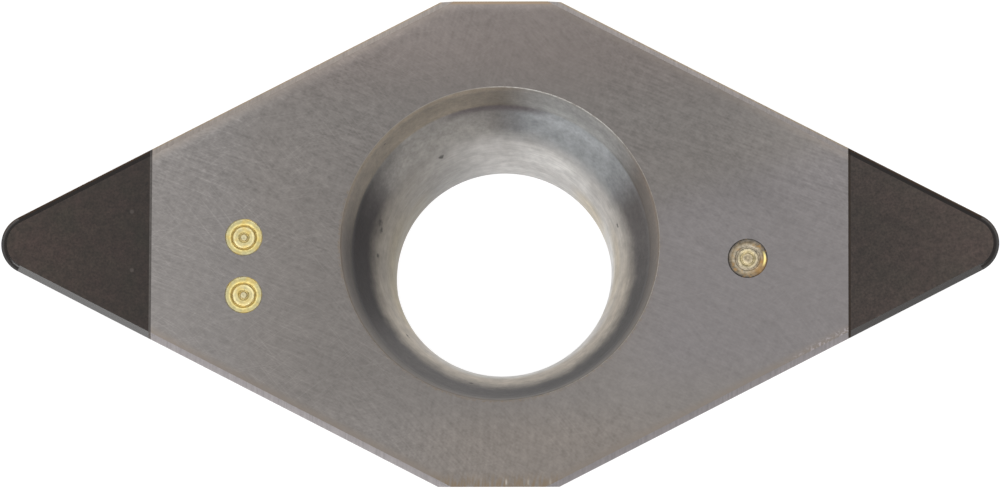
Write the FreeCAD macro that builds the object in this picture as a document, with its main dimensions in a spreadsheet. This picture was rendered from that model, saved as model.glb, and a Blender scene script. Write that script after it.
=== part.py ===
"""Two-cornered turning insert: a 55 degree diamond of cemented carbide with a brazed
boron nitride cutting tip at each acute corner.

Frame, in millimetres: the origin is on the axis of the screw hole, in the bottom seating
face. +Z points up through the top face. +X points along the long diagonal, from the left
tip to the right one.
"""

import FreeCAD
import Part

import math
import os

import Sketcher

doc = FreeCAD.newDocument("turning_insert")


# Driving sizes: name, value, meaning

SIZES = [
    # ground outline
    ("inscribed_circle", 6.35, "circle that touches the four long sides in the top face"),
    ("point_angle", 55, "angle between two long sides at a cutting corner, degrees"),
    ("flat_reach", 3.175, "hole axis to the flat ground on each obtuse corner"),
    ("thickness", 2.38, "seating face to top face"),
    ("clearance_angle", 11, "lean of every flank, degrees from upright"),
    ("nose_radius", 0.4, "corner radius in the top face"),
    # ground land along the cutting edges
    ("land_width", 0.075, "width of the land, seen from above"),
    ("land_angle", 20, "fall of the land below the top face, degrees"),
    # screw hole
    ("hole_diameter", 2.8, "straight throat that the clamping screw passes"),
    ("seat_half_angle", 28, "slope of the cone under the screw head, degrees from the axis"),
    ("seat_round", 2.0, "radius of the round between throat and cone"),
    ("seat_spread", 0.52, "from the throat wall out to the cone's upper end"),
    ("lead_in_spread", 0.125, "from the cone's upper end out to the rim in the top face"),
    ("lead_in_depth", 0.51, "top face to the cone's upper end"),
    # brazed tips
    ("seam_reach", 4.5, "hole axis to the back wall of a tip"),
    ("tip_height", 1.2, "top face to the underside of a tip"),
    ("braze_thickness", 0.03, "braze film under and behind a tip"),
    # ringed index marks in the top face
    ("left_mark_reach", 3.285, "hole axis back to the two left marks"),
    ("left_mark_rise", 0.085, "upper left mark above the long diagonal"),
    ("left_mark_drop", 0.669, "lower left mark below the long diagonal"),
    ("left_mark_diameter", 0.467, "outside of a left mark"),
    ("right_mark_reach", 3.181, "hole axis forward to the right mark"),
    ("right_mark_drop", 0.201, "right mark below the long diagonal"),
    ("right_mark_diameter", 0.507, "outside of the right mark"),
    ("mark_depth", 0.015, "floor of a mark below the top face"),
    ("outer_ring_diameter", 0.315, "middle of the outer ring groove of a mark"),
    ("inner_ring_diameter", 0.13, "middle of the inner ring groove of a mark"),
    ("ring_width", 0.03, "width of a ring groove"),
    ("ring_depth", 0.03, "floor of a ring groove below the top face"),
    # forms that cut
    ("overrun", 1.0, "how far a cutting form runs past the face that it opens"),
]

sheet = doc.addObject("Spreadsheet::Sheet", "sizes")
for row, (alias, value, meaning) in enumerate(SIZES, start=1):
    sheet.set(f"A{row}", meaning)
    sheet.set(f"B{row}", str(value))
    sheet.setAlias(f"B{row}", alias)
doc.recompute()


def size(alias):
    """Value of one driving size, for what no expression can hold."""
    return float(sheet.get(alias))


# Worked-out sizes, as expressions on the sheet

HALF_POINT = "(sizes.point_angle * 1 deg / 2)"
CLEARANCE = "(sizes.clearance_angle * 1 deg)"
OUTSIDE = f"(sizes.inscribed_circle / 2 / sin({HALF_POINT}) + sizes.overrun)"
NOSE_AXIS_REACH = f"((sizes.inscribed_circle / 2 - sizes.nose_radius) / sin({HALF_POINT}))"
NOSE_CONE_HEIGHT = f"(sizes.nose_radius / tan({CLEARANCE}))"

# How a sketch's constraints number an edge's points, and the sketch's own axes and origin

WHOLE_EDGE, START, END, CENTRE = range(4)
ALONG_X, ALONG_Y = range(-START, -CENTRE, -1)
ORIGIN = (ALONG_X, START)


def bind(item, expressions):
    """Ties properties of a document object to cells of the sheet."""
    for path, expression in expressions.items():
        item.setExpression(path, expression)


def new_sketch(body, plane_role, name):
    """An empty sketch on one of a body's own base planes."""
    sketch = body.newObject("Sketcher::SketchObject", name)
    plane = next(item for item in body.Origin.OriginFeatures if item.Role == plane_role)
    sketch.AttachmentSupport = [(plane, "")]
    sketch.MapMode = "FlatFace"
    return sketch


def hold(sketch, kind, *places):
    """A constraint of a sketch that has no size of its own."""
    sketch.addConstraint(Sketcher.Constraint(kind, *places))


def dimension(sketch, name, expression, kind, *places):
    """A named dimension of a sketch, driven by the sheet."""
    index = sketch.addConstraint(Sketcher.Constraint(kind, *places))
    sketch.renameConstraint(index, name)
    sketch.setExpression(f"Constraints.{name}", expression)


def boolean(kind, name, base, tool):
    """One shape cut by another, or what two shapes share."""
    item = doc.addObject(kind, name)
    item.Base = base
    item.Tool = tool
    return item


def other_side(source, name):
    """The same form at the left tip: mirrored in the plane across the long diagonal."""
    item = doc.addObject("Part::Mirroring", name)
    item.Source = source
    item.Normal = FreeCAD.Vector(1, 0, 0)
    return item


# Ground blank: the outside of the whole insert, which is ground after the tips are brazed in


def draw_diamond(sketch):
    """Four long sides that touch the inscribed circle, with every corner sharp."""
    inscribed_radius = size("inscribed_circle") / 2
    half_point = math.radians(size("point_angle") / 2)
    acute = FreeCAD.Vector(inscribed_radius / math.sin(half_point), 0, 0)
    obtuse = FreeCAD.Vector(0, inscribed_radius / math.cos(half_point), 0)
    upper_right, upper_left, lower_left, lower_right = range(4)
    sketch.addGeometry([
        Part.LineSegment(acute, obtuse),
        Part.LineSegment(obtuse, -acute),
        Part.LineSegment(-acute, -obtuse),
        Part.LineSegment(-obtuse, acute),
    ], False)
    hold(sketch, "Coincident", upper_right, END, upper_left, START)
    hold(sketch, "Coincident", upper_left, END, lower_left, START)
    hold(sketch, "Coincident", lower_left, END, lower_right, START)
    hold(sketch, "Coincident", lower_right, END, upper_right, START)
    hold(sketch, "PointOnObject", upper_right, START, ALONG_X)
    hold(sketch, "PointOnObject", upper_left, START, ALONG_Y)
    hold(sketch, "Symmetric", upper_right, START, lower_left, START, ALONG_Y)
    hold(sketch, "Symmetric", upper_left, START, lower_right, START, ALONG_X)
    dimension(
        sketch, "side_reach", "sizes.inscribed_circle / 2",
        "Distance", *ORIGIN, upper_right, inscribed_radius,
    )
    dimension(
        sketch, "side_direction", f"180 deg - {HALF_POINT}",
        "Angle", upper_right, math.pi - half_point,
    )


def make_diamond():
    """The diamond with sharp corners, drawn in the top face and built down, flanks leaning in."""
    body = doc.addObject("PartDesign::Body", "diamond")
    sketch = new_sketch(body, "XY_Plane", "top_outline")
    bind(sketch, {"AttachmentOffset.Base.z": "sizes.thickness"})
    draw_diamond(sketch)
    pad = body.newObject("PartDesign::Pad", "upright_diamond")
    pad.Profile = sketch
    pad.Reversed = True
    bind(pad, {"Length": "sizes.thickness"})
    doc.recompute()
    heights = {
        f"Face{number}": face.CenterOfMass.z
        for number, face in enumerate(pad.Shape.Faces, start=1)
    }
    top = max(heights, key=heights.get)
    bottom = min(heights, key=heights.get)
    lean = body.newObject("PartDesign::Draft", "leaning_flanks")
    lean.Base = (pad, [name for name in heights if name not in (top, bottom)])
    lean.NeutralPlane = (pad, [top])
    lean.Reversed = True
    bind(lean, {"Angle": "sizes.clearance_angle"})
    return body


def leaning_block(name, foot, rise, x_at_foot, x_at_top, half_width_at_foot, half_width_at_top):
    """A block whose walls may lean, from a foot up to the top face.

    It is made lying down and then stood up, so its own z runs across the insert.
    """
    block = doc.addObject("Part::Wedge", name)
    block.Placement.Rotation = FreeCAD.Rotation(FreeCAD.Vector(1, 0, 0), 90)
    bind(block, {
        "Placement.Base.z": foot,
        "Ymin": "0",
        "Ymax": rise,
        "Xmin": x_at_foot[0],
        "Xmax": x_at_foot[1],
        "X2min": x_at_top[0],
        "X2max": x_at_top[1],
        "Zmin": f"-({half_width_at_foot})",
        "Zmax": half_width_at_foot,
        "Z2min": f"-({half_width_at_top})",
        "Z2max": half_width_at_top,
    })
    return block


def make_flats_block():
    """What lies between the flats on the obtuse corners. The flats lean as the long flanks do."""
    reach = (f"-({OUTSIDE})", OUTSIDE)
    return leaning_block(
        "between_flats", "0", "sizes.thickness", reach, reach,
        f"sizes.flat_reach - sizes.thickness * tan({CLEARANCE})", "sizes.flat_reach",
    )


def make_nose_waste():
    """What grinding takes off the sharp right corner: a wedge less the nose.

    The nose is a cone, because its flank leans as the long flanks do. Its radius shrinks
    downward, and below its point the corner stays sharp. The wedge starts at the two lines
    in which the cone touches the long flanks, and its foot is level with the cone's point.
    """
    foot = f"sizes.thickness - {NOSE_CONE_HEIGHT}"
    cone = doc.addObject("Part::Cone", "nose_cone")
    cone.Radius1 = 0
    bind(cone, {
        "Radius2": "sizes.nose_radius",
        "Height": NOSE_CONE_HEIGHT,
        "Placement.Base.x": NOSE_AXIS_REACH,
        "Placement.Base.z": foot,
    })
    touch_reach = f"{NOSE_AXIS_REACH} + sizes.nose_radius * sin({HALF_POINT})"
    half_width = "sizes.inscribed_circle / 2"
    wedge = leaning_block(
        "corner_wedge", foot, NOSE_CONE_HEIGHT,
        (NOSE_AXIS_REACH, OUTSIDE), (touch_reach, OUTSIDE), half_width, half_width,
    )
    return boolean("Part::Cut", "nose_waste_right", wedge, cone)


def land_edges(shape):
    """Every edge of the top face, with the land's reach on its first face and on its second."""
    land_width = size("land_width")
    drop = land_width * math.tan(math.radians(size("land_angle")))
    clearance = math.radians(size("clearance_angle"))
    reach_on_top = land_width + drop * math.tan(clearance)
    reach_on_flank = drop / math.cos(clearance)
    top_face = max(shape.Faces, key=lambda face: face.CenterOfMass.z)
    edges = []
    for number, edge in enumerate(shape.Edges, start=1):
        if any(edge.isSame(top_edge) for top_edge in top_face.Edges):
            top_is_first = shape.ancestorsOfType(edge, Part.Face)[0].isSame(top_face)
            reaches = (reach_on_top, reach_on_flank)
            edges.append((number, *(reaches if top_is_first else reaches[::-1])))
    return edges


def make_ground_blank():
    """The finished outside of the insert: noses, then the land, then the flats, which have none."""
    waste = make_nose_waste()
    right_nosed = boolean("Part::Cut", "right_nosed", make_diamond(), waste)
    both_nosed = boolean("Part::Cut", "both_nosed", right_nosed, other_side(waste, "nose_waste_left"))
    doc.recompute()
    landed = doc.addObject("Part::Chamfer", "landed")
    landed.Base = both_nosed
    landed.Edges = land_edges(both_nosed.Shape)
    return boolean("Part::Common", "ground_blank", landed, make_flats_block())


# Corner pockets: each is a tip with its braze film, taken out of the carbide


def corner_block(name, back_reach, depth):
    """A block over the right cutting corner, from a back wall and a floor outward."""
    block = doc.addObject("Part::Box", name)
    bind(block, {
        "Placement.Base.x": back_reach,
        "Placement.Base.y": "-sizes.inscribed_circle / 2",
        "Placement.Base.z": f"sizes.thickness - ({depth})",
        "Length": f"{OUTSIDE} - ({back_reach})",
        "Width": "sizes.inscribed_circle",
        "Height": f"{depth} + sizes.overrun",
    })
    return block


# Cutting tips: solid boron nitride compacts that fill the pockets, ground flush with the carbide


def make_tips(blank, tip_block):
    """The right tip, and the left one that mirrors it."""
    right = boolean("Part::Common", "cbn_tip_right", blank, tip_block)
    return [right, other_side(right, "cbn_tip_left")]


# Braze films: thin and L-shaped, on the floor and the back wall of each pocket


def make_braze(blank, tip_block, pocket_block):
    """The right film, and the left one that mirrors it."""
    film_block = boolean("Part::Cut", "film_block", pocket_block, tip_block)
    right = boolean("Part::Common", "braze_right", blank, film_block)
    return [right, other_side(right, "braze_left")]


# Carbide body: the blank without its corner pockets, with the screw hole and the index marks


def draw_hole(sketch):
    """Half section of the screw hole: throat, round, seat cone and lead-in, axis on the left."""
    throat = size("hole_diameter") / 2
    slope = math.radians(size("seat_half_angle"))
    round_radius = size("seat_round")
    mouth = throat + size("seat_spread")
    mouth_z = size("thickness") - size("lead_in_depth")
    rim = mouth + size("lead_in_spread")
    top = size("thickness")
    overrun = size("overrun")
    round_top = throat + round_radius * (1 - math.cos(slope))
    round_top_z = mouth_z - (mouth - round_top) / math.tan(slope)
    throat_z = round_top_z - round_radius * math.sin(slope)

    def point(radius, height):
        return FreeCAD.Vector(radius, height, 0)

    round_circle = Part.Circle(point(throat + round_radius, throat_z), FreeCAD.Vector(0, 0, 1), round_radius)
    sketch.addGeometry([
        Part.LineSegment(point(0, -overrun), point(throat, -overrun)),
        Part.LineSegment(point(throat, -overrun), point(throat, throat_z)),
        Part.ArcOfCircle(round_circle, math.pi - slope, math.pi),
        Part.LineSegment(point(round_top, round_top_z), point(mouth, mouth_z)),
        Part.LineSegment(point(mouth, mouth_z), point(rim, top)),
        Part.LineSegment(point(rim, top), point(rim, top + overrun)),
        Part.LineSegment(point(rim, top + overrun), point(0, top + overrun)),
        Part.LineSegment(point(0, top + overrun), point(0, -overrun)),
    ], False)
    foot, throat_wall, seat_curve, cone, lead_in, rim_wall, lid, axis = range(8)
    hold(sketch, "Coincident", foot, END, throat_wall, START)
    hold(sketch, "Tangent", throat_wall, END, seat_curve, END)
    hold(sketch, "Tangent", seat_curve, START, cone, START)
    hold(sketch, "Coincident", cone, END, lead_in, START)
    hold(sketch, "Coincident", lead_in, END, rim_wall, START)
    hold(sketch, "Coincident", rim_wall, END, lid, START)
    hold(sketch, "Coincident", lid, END, axis, START)
    hold(sketch, "Coincident", axis, END, foot, START)
    hold(sketch, "PointOnObject", foot, START, ALONG_Y)
    hold(sketch, "PointOnObject", lid, END, ALONG_Y)
    hold(sketch, "Horizontal", foot)
    hold(sketch, "Vertical", throat_wall)
    hold(sketch, "Vertical", rim_wall)
    hold(sketch, "Horizontal", lid)
    dimension(sketch, "foot", "-sizes.overrun", "DistanceY", *ORIGIN, foot, START, -overrun)
    dimension(sketch, "throat", "sizes.hole_diameter / 2", "DistanceX", *ORIGIN, foot, END, throat)
    dimension(sketch, "seat_round", "sizes.seat_round", "Radius", seat_curve, round_radius)
    dimension(
        sketch, "seat_slope", "90 deg - sizes.seat_half_angle * 1 deg",
        "Angle", cone, math.pi / 2 - slope,
    )
    dimension(
        sketch, "seat_spread", "sizes.seat_spread",
        "DistanceX", throat_wall, END, cone, END, mouth - throat,
    )
    dimension(
        sketch, "mouth_height", "sizes.thickness - sizes.lead_in_depth",
        "DistanceY", *ORIGIN, cone, END, mouth_z,
    )
    dimension(
        sketch, "lead_in_spread", "sizes.lead_in_spread",
        "DistanceX", lead_in, START, lead_in, END, rim - mouth,
    )
    dimension(sketch, "rim_height", "sizes.thickness", "DistanceY", *ORIGIN, lead_in, END, top)
    dimension(
        sketch, "lid", "sizes.thickness + sizes.overrun",
        "DistanceY", *ORIGIN, rim_wall, END, top + overrun,
    )


# The index marks: name, place along and across the long diagonal, and outside diameter

MARKS = [
    ("upper_left", "-sizes.left_mark_reach", "sizes.left_mark_rise", "sizes.left_mark_diameter"),
    ("lower_left", "-sizes.left_mark_reach", "-sizes.left_mark_drop", "sizes.left_mark_diameter"),
    ("right", "sizes.right_mark_reach", "-sizes.right_mark_drop", "sizes.right_mark_diameter"),
]


def draw_circles(sketch, name, along, across, diameters):
    """Circles round one centre."""
    first = sketch.GeometryCount
    for step, diameter in enumerate(diameters):
        number = first + step
        nominal = sheet.evalExpression(diameter)
        centre = FreeCAD.Vector(sheet.evalExpression(along), sheet.evalExpression(across), 0)
        sketch.addGeometry(Part.Circle(centre, FreeCAD.Vector(0, 0, 1), nominal / 2), False)
        dimension(sketch, f"{name}_{step}_diameter", diameter, "Diameter", number, nominal)
        if step == 0:
            dimension(sketch, f"{name}_along", along, "DistanceX", *ORIGIN, number, CENTRE, centre.x)
            dimension(sketch, f"{name}_across", across, "DistanceY", *ORIGIN, number, CENTRE, centre.y)
        else:
            hold(sketch, "Coincident", number, CENTRE, first, CENTRE)


def cut_down(body, sketch, name, depth):
    """A pocket from a sketch in the top face into the carbide."""
    pocket = body.newObject("PartDesign::Pocket", name)
    pocket.Profile = sketch
    pocket.Reversed = False
    bind(pocket, {"Length": depth})


def make_insert_body(carbide_blank):
    """The carbide piece: hole, then the round marks, then the two ring grooves in each."""
    body = doc.addObject("PartDesign::Body", "insert_body")
    body.BaseFeature = carbide_blank
    doc.recompute()

    section = new_sketch(body, "XZ_Plane", "hole_section")
    draw_hole(section)
    hole = body.newObject("PartDesign::Groove", "screw_hole")
    hole.Profile = section
    hole.ReferenceAxis = (section, ["V_Axis"])
    hole.Angle = 360

    discs = new_sketch(body, "XY_Plane", "mark_discs")
    rings = new_sketch(body, "XY_Plane", "mark_rings")
    for sketch in (discs, rings):
        bind(sketch, {"AttachmentOffset.Base.z": "sizes.thickness"})
    ring_edges = [
        f"sizes.{ring}_ring_diameter {side} sizes.ring_width"
        for ring in ("outer", "inner")
        for side in ("+", "-")
    ]
    for name, along, across, diameter in MARKS:
        draw_circles(discs, name, along, across, [diameter])
        draw_circles(rings, name, along, across, ring_edges)
    cut_down(body, discs, "mark_recesses", "sizes.mark_depth")
    cut_down(body, rings, "ring_grooves", "sizes.ring_depth")
    return body


# Assembly

ground_blank = make_ground_blank()
tip_block = corner_block("tip_block", "sizes.seam_reach", "sizes.tip_height")
pocket_block = corner_block(
    "pocket_block",
    "sizes.seam_reach - sizes.braze_thickness",
    "sizes.tip_height + sizes.braze_thickness",
)
tips = make_tips(ground_blank, tip_block)
films = make_braze(ground_blank, tip_block, pocket_block)
right_pocketed = boolean("Part::Cut", "right_pocketed", ground_blank, pocket_block)
carbide_blank = boolean(
    "Part::Cut", "carbide_blank", right_pocketed, other_side(pocket_block, "pocket_block_left")
)
pieces = [make_insert_body(carbide_blank), *tips, *films]
for piece in pieces:
    piece.Label = piece.Name
doc.recompute()


# Check and write

for item in doc.Objects:
    if "Invalid" in item.State or "Error" in item.State:
        raise RuntimeError(f"{item.Name} failed: {item.State} {item.getStatusString()}")
for piece in pieces:
    if piece.Shape.isNull() or not piece.Shape.isValid() or len(piece.Shape.Solids) != 1:
        raise RuntimeError(f"{piece.Label} is not one valid solid")

os.makedirs("parts", exist_ok=True)
for piece in pieces:
    piece.Shape.exportStep(f"parts/{piece.Label}.step")
    box = piece.Shape.optimalBoundingBox()
    print(
        f"{piece.Label}: {piece.Shape.Volume:.4f} mm3, "
        f"x {box.XMin:.3f} to {box.XMax:.3f}, y {box.YMin:.3f} to {box.YMax:.3f}, "
        f"z {box.ZMin:.3f} to {box.ZMax:.3f}"
    )
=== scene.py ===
import math

import bmesh
import bpy
from mathutils import Matrix, Vector


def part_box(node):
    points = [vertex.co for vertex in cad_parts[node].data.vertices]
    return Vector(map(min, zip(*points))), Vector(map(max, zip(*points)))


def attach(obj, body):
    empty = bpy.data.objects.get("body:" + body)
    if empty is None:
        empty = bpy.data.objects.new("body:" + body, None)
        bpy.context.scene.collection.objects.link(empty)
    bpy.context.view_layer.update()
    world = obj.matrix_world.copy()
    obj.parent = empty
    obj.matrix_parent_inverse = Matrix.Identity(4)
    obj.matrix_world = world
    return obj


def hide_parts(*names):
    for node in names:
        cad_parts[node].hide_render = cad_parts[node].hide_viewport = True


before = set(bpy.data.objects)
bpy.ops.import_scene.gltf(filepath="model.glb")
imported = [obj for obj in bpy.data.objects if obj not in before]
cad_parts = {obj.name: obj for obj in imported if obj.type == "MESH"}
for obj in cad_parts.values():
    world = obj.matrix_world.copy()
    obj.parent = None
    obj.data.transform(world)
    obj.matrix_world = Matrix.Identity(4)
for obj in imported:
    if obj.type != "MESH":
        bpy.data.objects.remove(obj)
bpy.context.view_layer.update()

# The screw seat: the countersunk hole that the clamping screw's round cone pulls on. It is
# pressed with the carbide body and keeps its sintered skin, which no wheel touches later.
# From below: a straight throat, a round, a cone, and a steeper lead-in up to the top face.
MM_PER_M = 1000.0
THROAT_RADIUS = 1.4
SEAT_ROUND = 2.0
SEAT_HALF_ANGLE = math.radians(28.0)
SEAT_SPREAD = 0.52
LEAD_IN_SPREAD = 0.125
LEAD_IN_DEPTH = 0.51
RIM_ROUND = 0.012
RIM_MIDDLE = 0.3
RIM_SKIN = 1.2
SEAT_SPOKES = 288
THROAT_STEPS = 3
ROUND_STEPS = 18
CONE_STEPS = 8
LEAD_IN_STEPS = 6
# Much of the seat's colour is painted light: the throat's light greys are a painted reflection of the white
# floor below the hole, the cone's dark greys a painted dark reflection, and most changes round the hole are
# painted light and shade. Its rust, brown, pits and mottles are the skin's own colour.
THROAT_COLOUR = (0.57, 0.552, 0.535, 1.0)
# Colour of the throat's painted highlights.
THROAT_PAINTED_HIGHLIGHT = (0.80, 0.785, 0.765, 1.0)
THROAT_WARM = (0.58, 0.518, 0.44, 1.0)
THROAT_RUSTY = (0.62, 0.52, 0.345, 1.0)
CONE_COLOUR = (0.118, 0.108, 0.106, 1.0)
# Colours of the cone's painted shade at the left, painted shade in the crease under the lead-in, painted
# bluish highlight, and painted light behind.
CONE_PAINTED_SHADE = (0.021, 0.0155, 0.0165, 1.0)
CONE_PAINTED_CREASE_SHADE = (0.13, 0.108, 0.112, 1.0)
CONE_PAINTED_HIGHLIGHT = (0.41, 0.43, 0.45, 1.0)
CONE_PAINTED_LIGHT = (0.395, 0.375, 0.352, 1.0)
LEAD_IN_COLOUR = (0.112, 0.088, 0.070, 1.0)
LEAD_IN_BROWN = (0.215, 0.180, 0.138, 1.0)
# Colour of the lead-in's painted bluish highlight.
LEAD_IN_PAINTED_HIGHLIGHT = (0.42, 0.427, 0.425, 1.0)
RIM_COLOUR = (0.27, 0.24, 0.21, 1.0)
# Colour of the rim's painted glint.
RIM_PAINTED_GLINT = (0.62, 0.61, 0.58, 1.0)
PIT_COLOUR = (0.03, 0.027, 0.024, 1.0)
PIT_PLACES = (
    (120.0, 1.22, 0.045),
    (163.0, 1.34, 0.065),
    (166.0, 1.28, 0.045),
    (178.0, 1.27, 0.035),
    (138.0, 2.20, 0.022),
    (174.5, 1.83, 0.024),
    (214.0, 2.09, 0.026),
    (257.0, 1.44, 0.035),
    (219.0, 1.18, 0.035),
    (316.0, 2.01, 0.026),
    (17.5, 1.18, 0.035),
)
SINTERED_ROUGHNESS = 0.48
SINTERED_METALLIC = 0.4

THICKNESS = MM_PER_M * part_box("insert_body")[1].z


def add_node(tree, kind, inputs, **settings):
    """Adds a node. Each input, by name or place, is a plain value or the output that feeds it."""
    node = tree.nodes.new(kind)
    for name, value in settings.items():
        setattr(node, name, value)
    for key, value in inputs.items():
        if isinstance(value, bpy.types.NodeSocket):
            tree.links.new(value, node.inputs[key])
        else:
            node.inputs[key].default_value = value
    return node


def maths(tree, operation, first, second=0.0):
    """One step of arithmetic on node outputs or numbers."""
    return add_node(tree, "ShaderNodeMath", {0: first, 1: second}, operation=operation).outputs[0]


def plus(tree, first, second):
    """The sum of two values."""
    return maths(tree, "ADD", first, second)


def times(tree, first, second):
    """The product of two values."""
    return maths(tree, "MULTIPLY", first, second)


def larger(tree, first, second):
    """The larger of two values."""
    return maths(tree, "MAXIMUM", first, second)


def new_tree(name, sizes):
    """An empty Geometry Nodes tree with a mesh going in and out, and named number inputs."""
    tree = bpy.data.node_groups.new(name, "GeometryNodeTree")
    tree.interface.new_socket("Geometry", in_out="INPUT", socket_type="NodeSocketGeometry")
    for size, kind in sizes.items():
        tree.interface.new_socket(size, in_out="INPUT", socket_type=kind)
    tree.interface.new_socket("Geometry", in_out="OUTPUT", socket_type="NodeSocketGeometry")
    return tree


def grown_mesh(name, start, tree, values):
    """Runs the tree on a starting mesh and returns the plain mesh that comes out."""
    grower = bpy.data.objects.new(name, start)
    bpy.context.scene.collection.objects.link(grower)
    modifier = grower.modifiers.new(name, "NODES")
    modifier.node_group = tree
    for item in tree.interface.items_tree:
        if item.name in values:
            modifier[item.identifier] = values[item.name]
    ready = grower.evaluated_get(bpy.context.evaluated_depsgraph_get())
    mesh = bpy.data.meshes.new_from_object(ready)
    grower.modifiers.clear()
    bpy.data.objects.remove(grower)
    return mesh


WELD_DISTANCE = 0.0001


def polar_grid(tree, rows, spokes):
    """A grid of rows that run once round: its mesh, each point's row, and its angle's cosine and sine."""
    columns = plus(tree, spokes, 1.0)
    grid = add_node(tree, "GeometryNodeMeshGrid", {"Vertices X": rows, "Vertices Y": columns})
    index = tree.nodes.new("GeometryNodeInputIndex").outputs[0]
    row = maths(tree, "FLOOR", maths(tree, "DIVIDE", plus(tree, index, 0.5), columns))
    turn = maths(tree, "DIVIDE", maths(tree, "FLOORED_MODULO", index, columns), spokes)
    angle = times(tree, turn, math.tau)
    return grid.outputs["Mesh"], row, maths(tree, "COSINE", angle), maths(tree, "SINE", angle)


def closed_round(tree, grid, place):
    """The grid with its points in place, and its first and last column welded together."""
    moved = add_node(tree, "GeometryNodeSetPosition", {"Geometry": grid, "Position": place})
    welded = {"Geometry": moved.outputs[0], "Distance": WELD_DISTANCE}
    return add_node(tree, "GeometryNodeMergeByDistance", welded).outputs[0]


def end_tree(tree, geometry, finish):
    """Gives the geometry its material and sends it out of the tree."""
    finished = add_node(tree, "GeometryNodeSetMaterial", {"Geometry": geometry, "Material": finish})
    leaving = tree.nodes.new("NodeGroupOutput")
    tree.links.new(finished.outputs[0], leaving.inputs["Geometry"])
    return tree


def turning_tree():
    """Turns a profile, drawn as one line of points in X and Z, about the Z axis."""
    tree = new_tree("turned_wall", {"Spokes": "NodeSocketInt", "Finish": "NodeSocketMaterial"})
    given = tree.nodes.new("NodeGroupInput")
    size = add_node(
        tree, "GeometryNodeAttributeDomainSize", {"Geometry": given.outputs["Geometry"]}, component="MESH"
    )
    grid, row, cosine, sine = polar_grid(tree, size.outputs["Point Count"], given.outputs["Spokes"])
    drawn = add_node(
        tree,
        "GeometryNodeSampleIndex",
        {"Geometry": given.outputs["Geometry"], "Index": row},
        data_type="FLOAT_VECTOR",
        domain="POINT",
    )
    tree.links.new(tree.nodes.new("GeometryNodeInputPosition").outputs[0], drawn.inputs["Value"])
    point = add_node(tree, "ShaderNodeSeparateXYZ", {0: drawn.outputs["Value"]})
    x = times(tree, point.outputs["X"], cosine)
    y = times(tree, point.outputs["X"], sine)
    place = add_node(tree, "ShaderNodeCombineXYZ", {"X": x, "Y": y, "Z": point.outputs["Z"]})
    closed = closed_round(tree, grid, place.outputs[0])
    real = add_node(tree, "GeometryNodeRealizeInstances", {"Geometry": closed})
    return end_tree(tree, real.outputs[0], given.outputs["Finish"])


def seat_profile():
    """The seat's outline from the underside up to the top face, as radius and height."""
    cone_foot = THROAT_RADIUS + SEAT_ROUND * (1.0 - math.cos(SEAT_HALF_ANGLE))
    cone_head = THROAT_RADIUS + SEAT_SPREAD
    cone_head_height = THICKNESS - LEAD_IN_DEPTH
    cone_foot_height = cone_head_height - (cone_head - cone_foot) / math.tan(SEAT_HALF_ANGLE)
    throat_height = cone_foot_height - SEAT_ROUND * math.sin(SEAT_HALF_ANGLE)
    mouth = cone_head + LEAD_IN_SPREAD
    points = [(THROAT_RADIUS, throat_height * i / THROAT_STEPS) for i in range(THROAT_STEPS)]
    for i in range(ROUND_STEPS):
        angle = SEAT_HALF_ANGLE * i / ROUND_STEPS
        reach = THROAT_RADIUS + SEAT_ROUND * (1.0 - math.cos(angle))
        points.append((reach, throat_height + SEAT_ROUND * math.sin(angle)))
    for i in range(CONE_STEPS):
        share = i / CONE_STEPS
        reach = cone_foot + share * (cone_head - cone_foot)
        points.append((reach, cone_foot_height + share * (cone_head_height - cone_foot_height)))
    for i in range(LEAD_IN_STEPS):
        share = i / LEAD_IN_STEPS
        points.append((cone_head + share * LEAD_IN_SPREAD, cone_head_height + share * LEAD_IN_DEPTH))
    points.append((mouth - RIM_ROUND * LEAD_IN_SPREAD / LEAD_IN_DEPTH, THICKNESS - RIM_ROUND))
    points.append((mouth + RIM_MIDDLE * RIM_ROUND, THICKNESS - RIM_MIDDLE * RIM_ROUND))
    points.append((mouth + RIM_ROUND, THICKNESS))
    return points


def in_millimetres(tree):
    """A point's own coordinates on the piece, in millimetres."""
    place = tree.nodes.new("ShaderNodeTexCoord").outputs["Object"]
    return add_node(tree, "ShaderNodeVectorMath", {0: place, "Scale": MM_PER_M}, operation="SCALE").outputs[0]


def axes(tree, place):
    """The place's X, Y and Z, split once in each material."""
    if "axes" not in tree.nodes:
        add_node(tree, "ShaderNodeSeparateXYZ", {0: place}, name="axes")
    return tree.nodes["axes"].outputs


NOISE_LOW = 0.25
NOISE_HIGH = 0.75
NOISE_ROUGHNESS = 0.6


def clouds(tree, place, cell, detail=2.0, seed=0.0, low=0.0, high=1.0):
    """Soft noise with patches about one cell wide, spread from low to high."""
    moved = add_node(tree, "ShaderNodeVectorMath", {0: place, 1: (seed, seed, seed)}, operation="ADD")
    noise = add_node(
        tree,
        "ShaderNodeTexNoise",
        {"Vector": moved.outputs[0], "Scale": 1.0 / cell, "Detail": detail, "Roughness": NOISE_ROUGHNESS},
    )
    return spread(tree, noise.outputs["Fac"], NOISE_LOW, NOISE_HIGH, low, high)


def spread(tree, value, old_low, old_high, low=0.0, high=1.0):
    """Carries a value from one range to another and stops at its ends."""
    return add_node(
        tree,
        "ShaderNodeMapRange",
        {"Value": value, "From Min": old_low, "From Max": old_high, "To Min": low, "To Max": high},
    ).outputs["Result"]


def eased(tree, value, old_low, old_high):
    """A soft step from nothing to one across this range."""
    node = add_node(
        tree,
        "ShaderNodeMapRange",
        {"Value": value, "From Min": old_low, "From Max": old_high},
        interpolation_type="SMOOTHSTEP",
    )
    return node.outputs["Result"]


def stretched(tree, place, factors):
    """The place times these factors, so that a pattern on it is drawn out or flattened."""
    return add_node(tree, "ShaderNodeVectorMath", {0: place, 1: factors}, operation="MULTIPLY").outputs[0]


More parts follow.
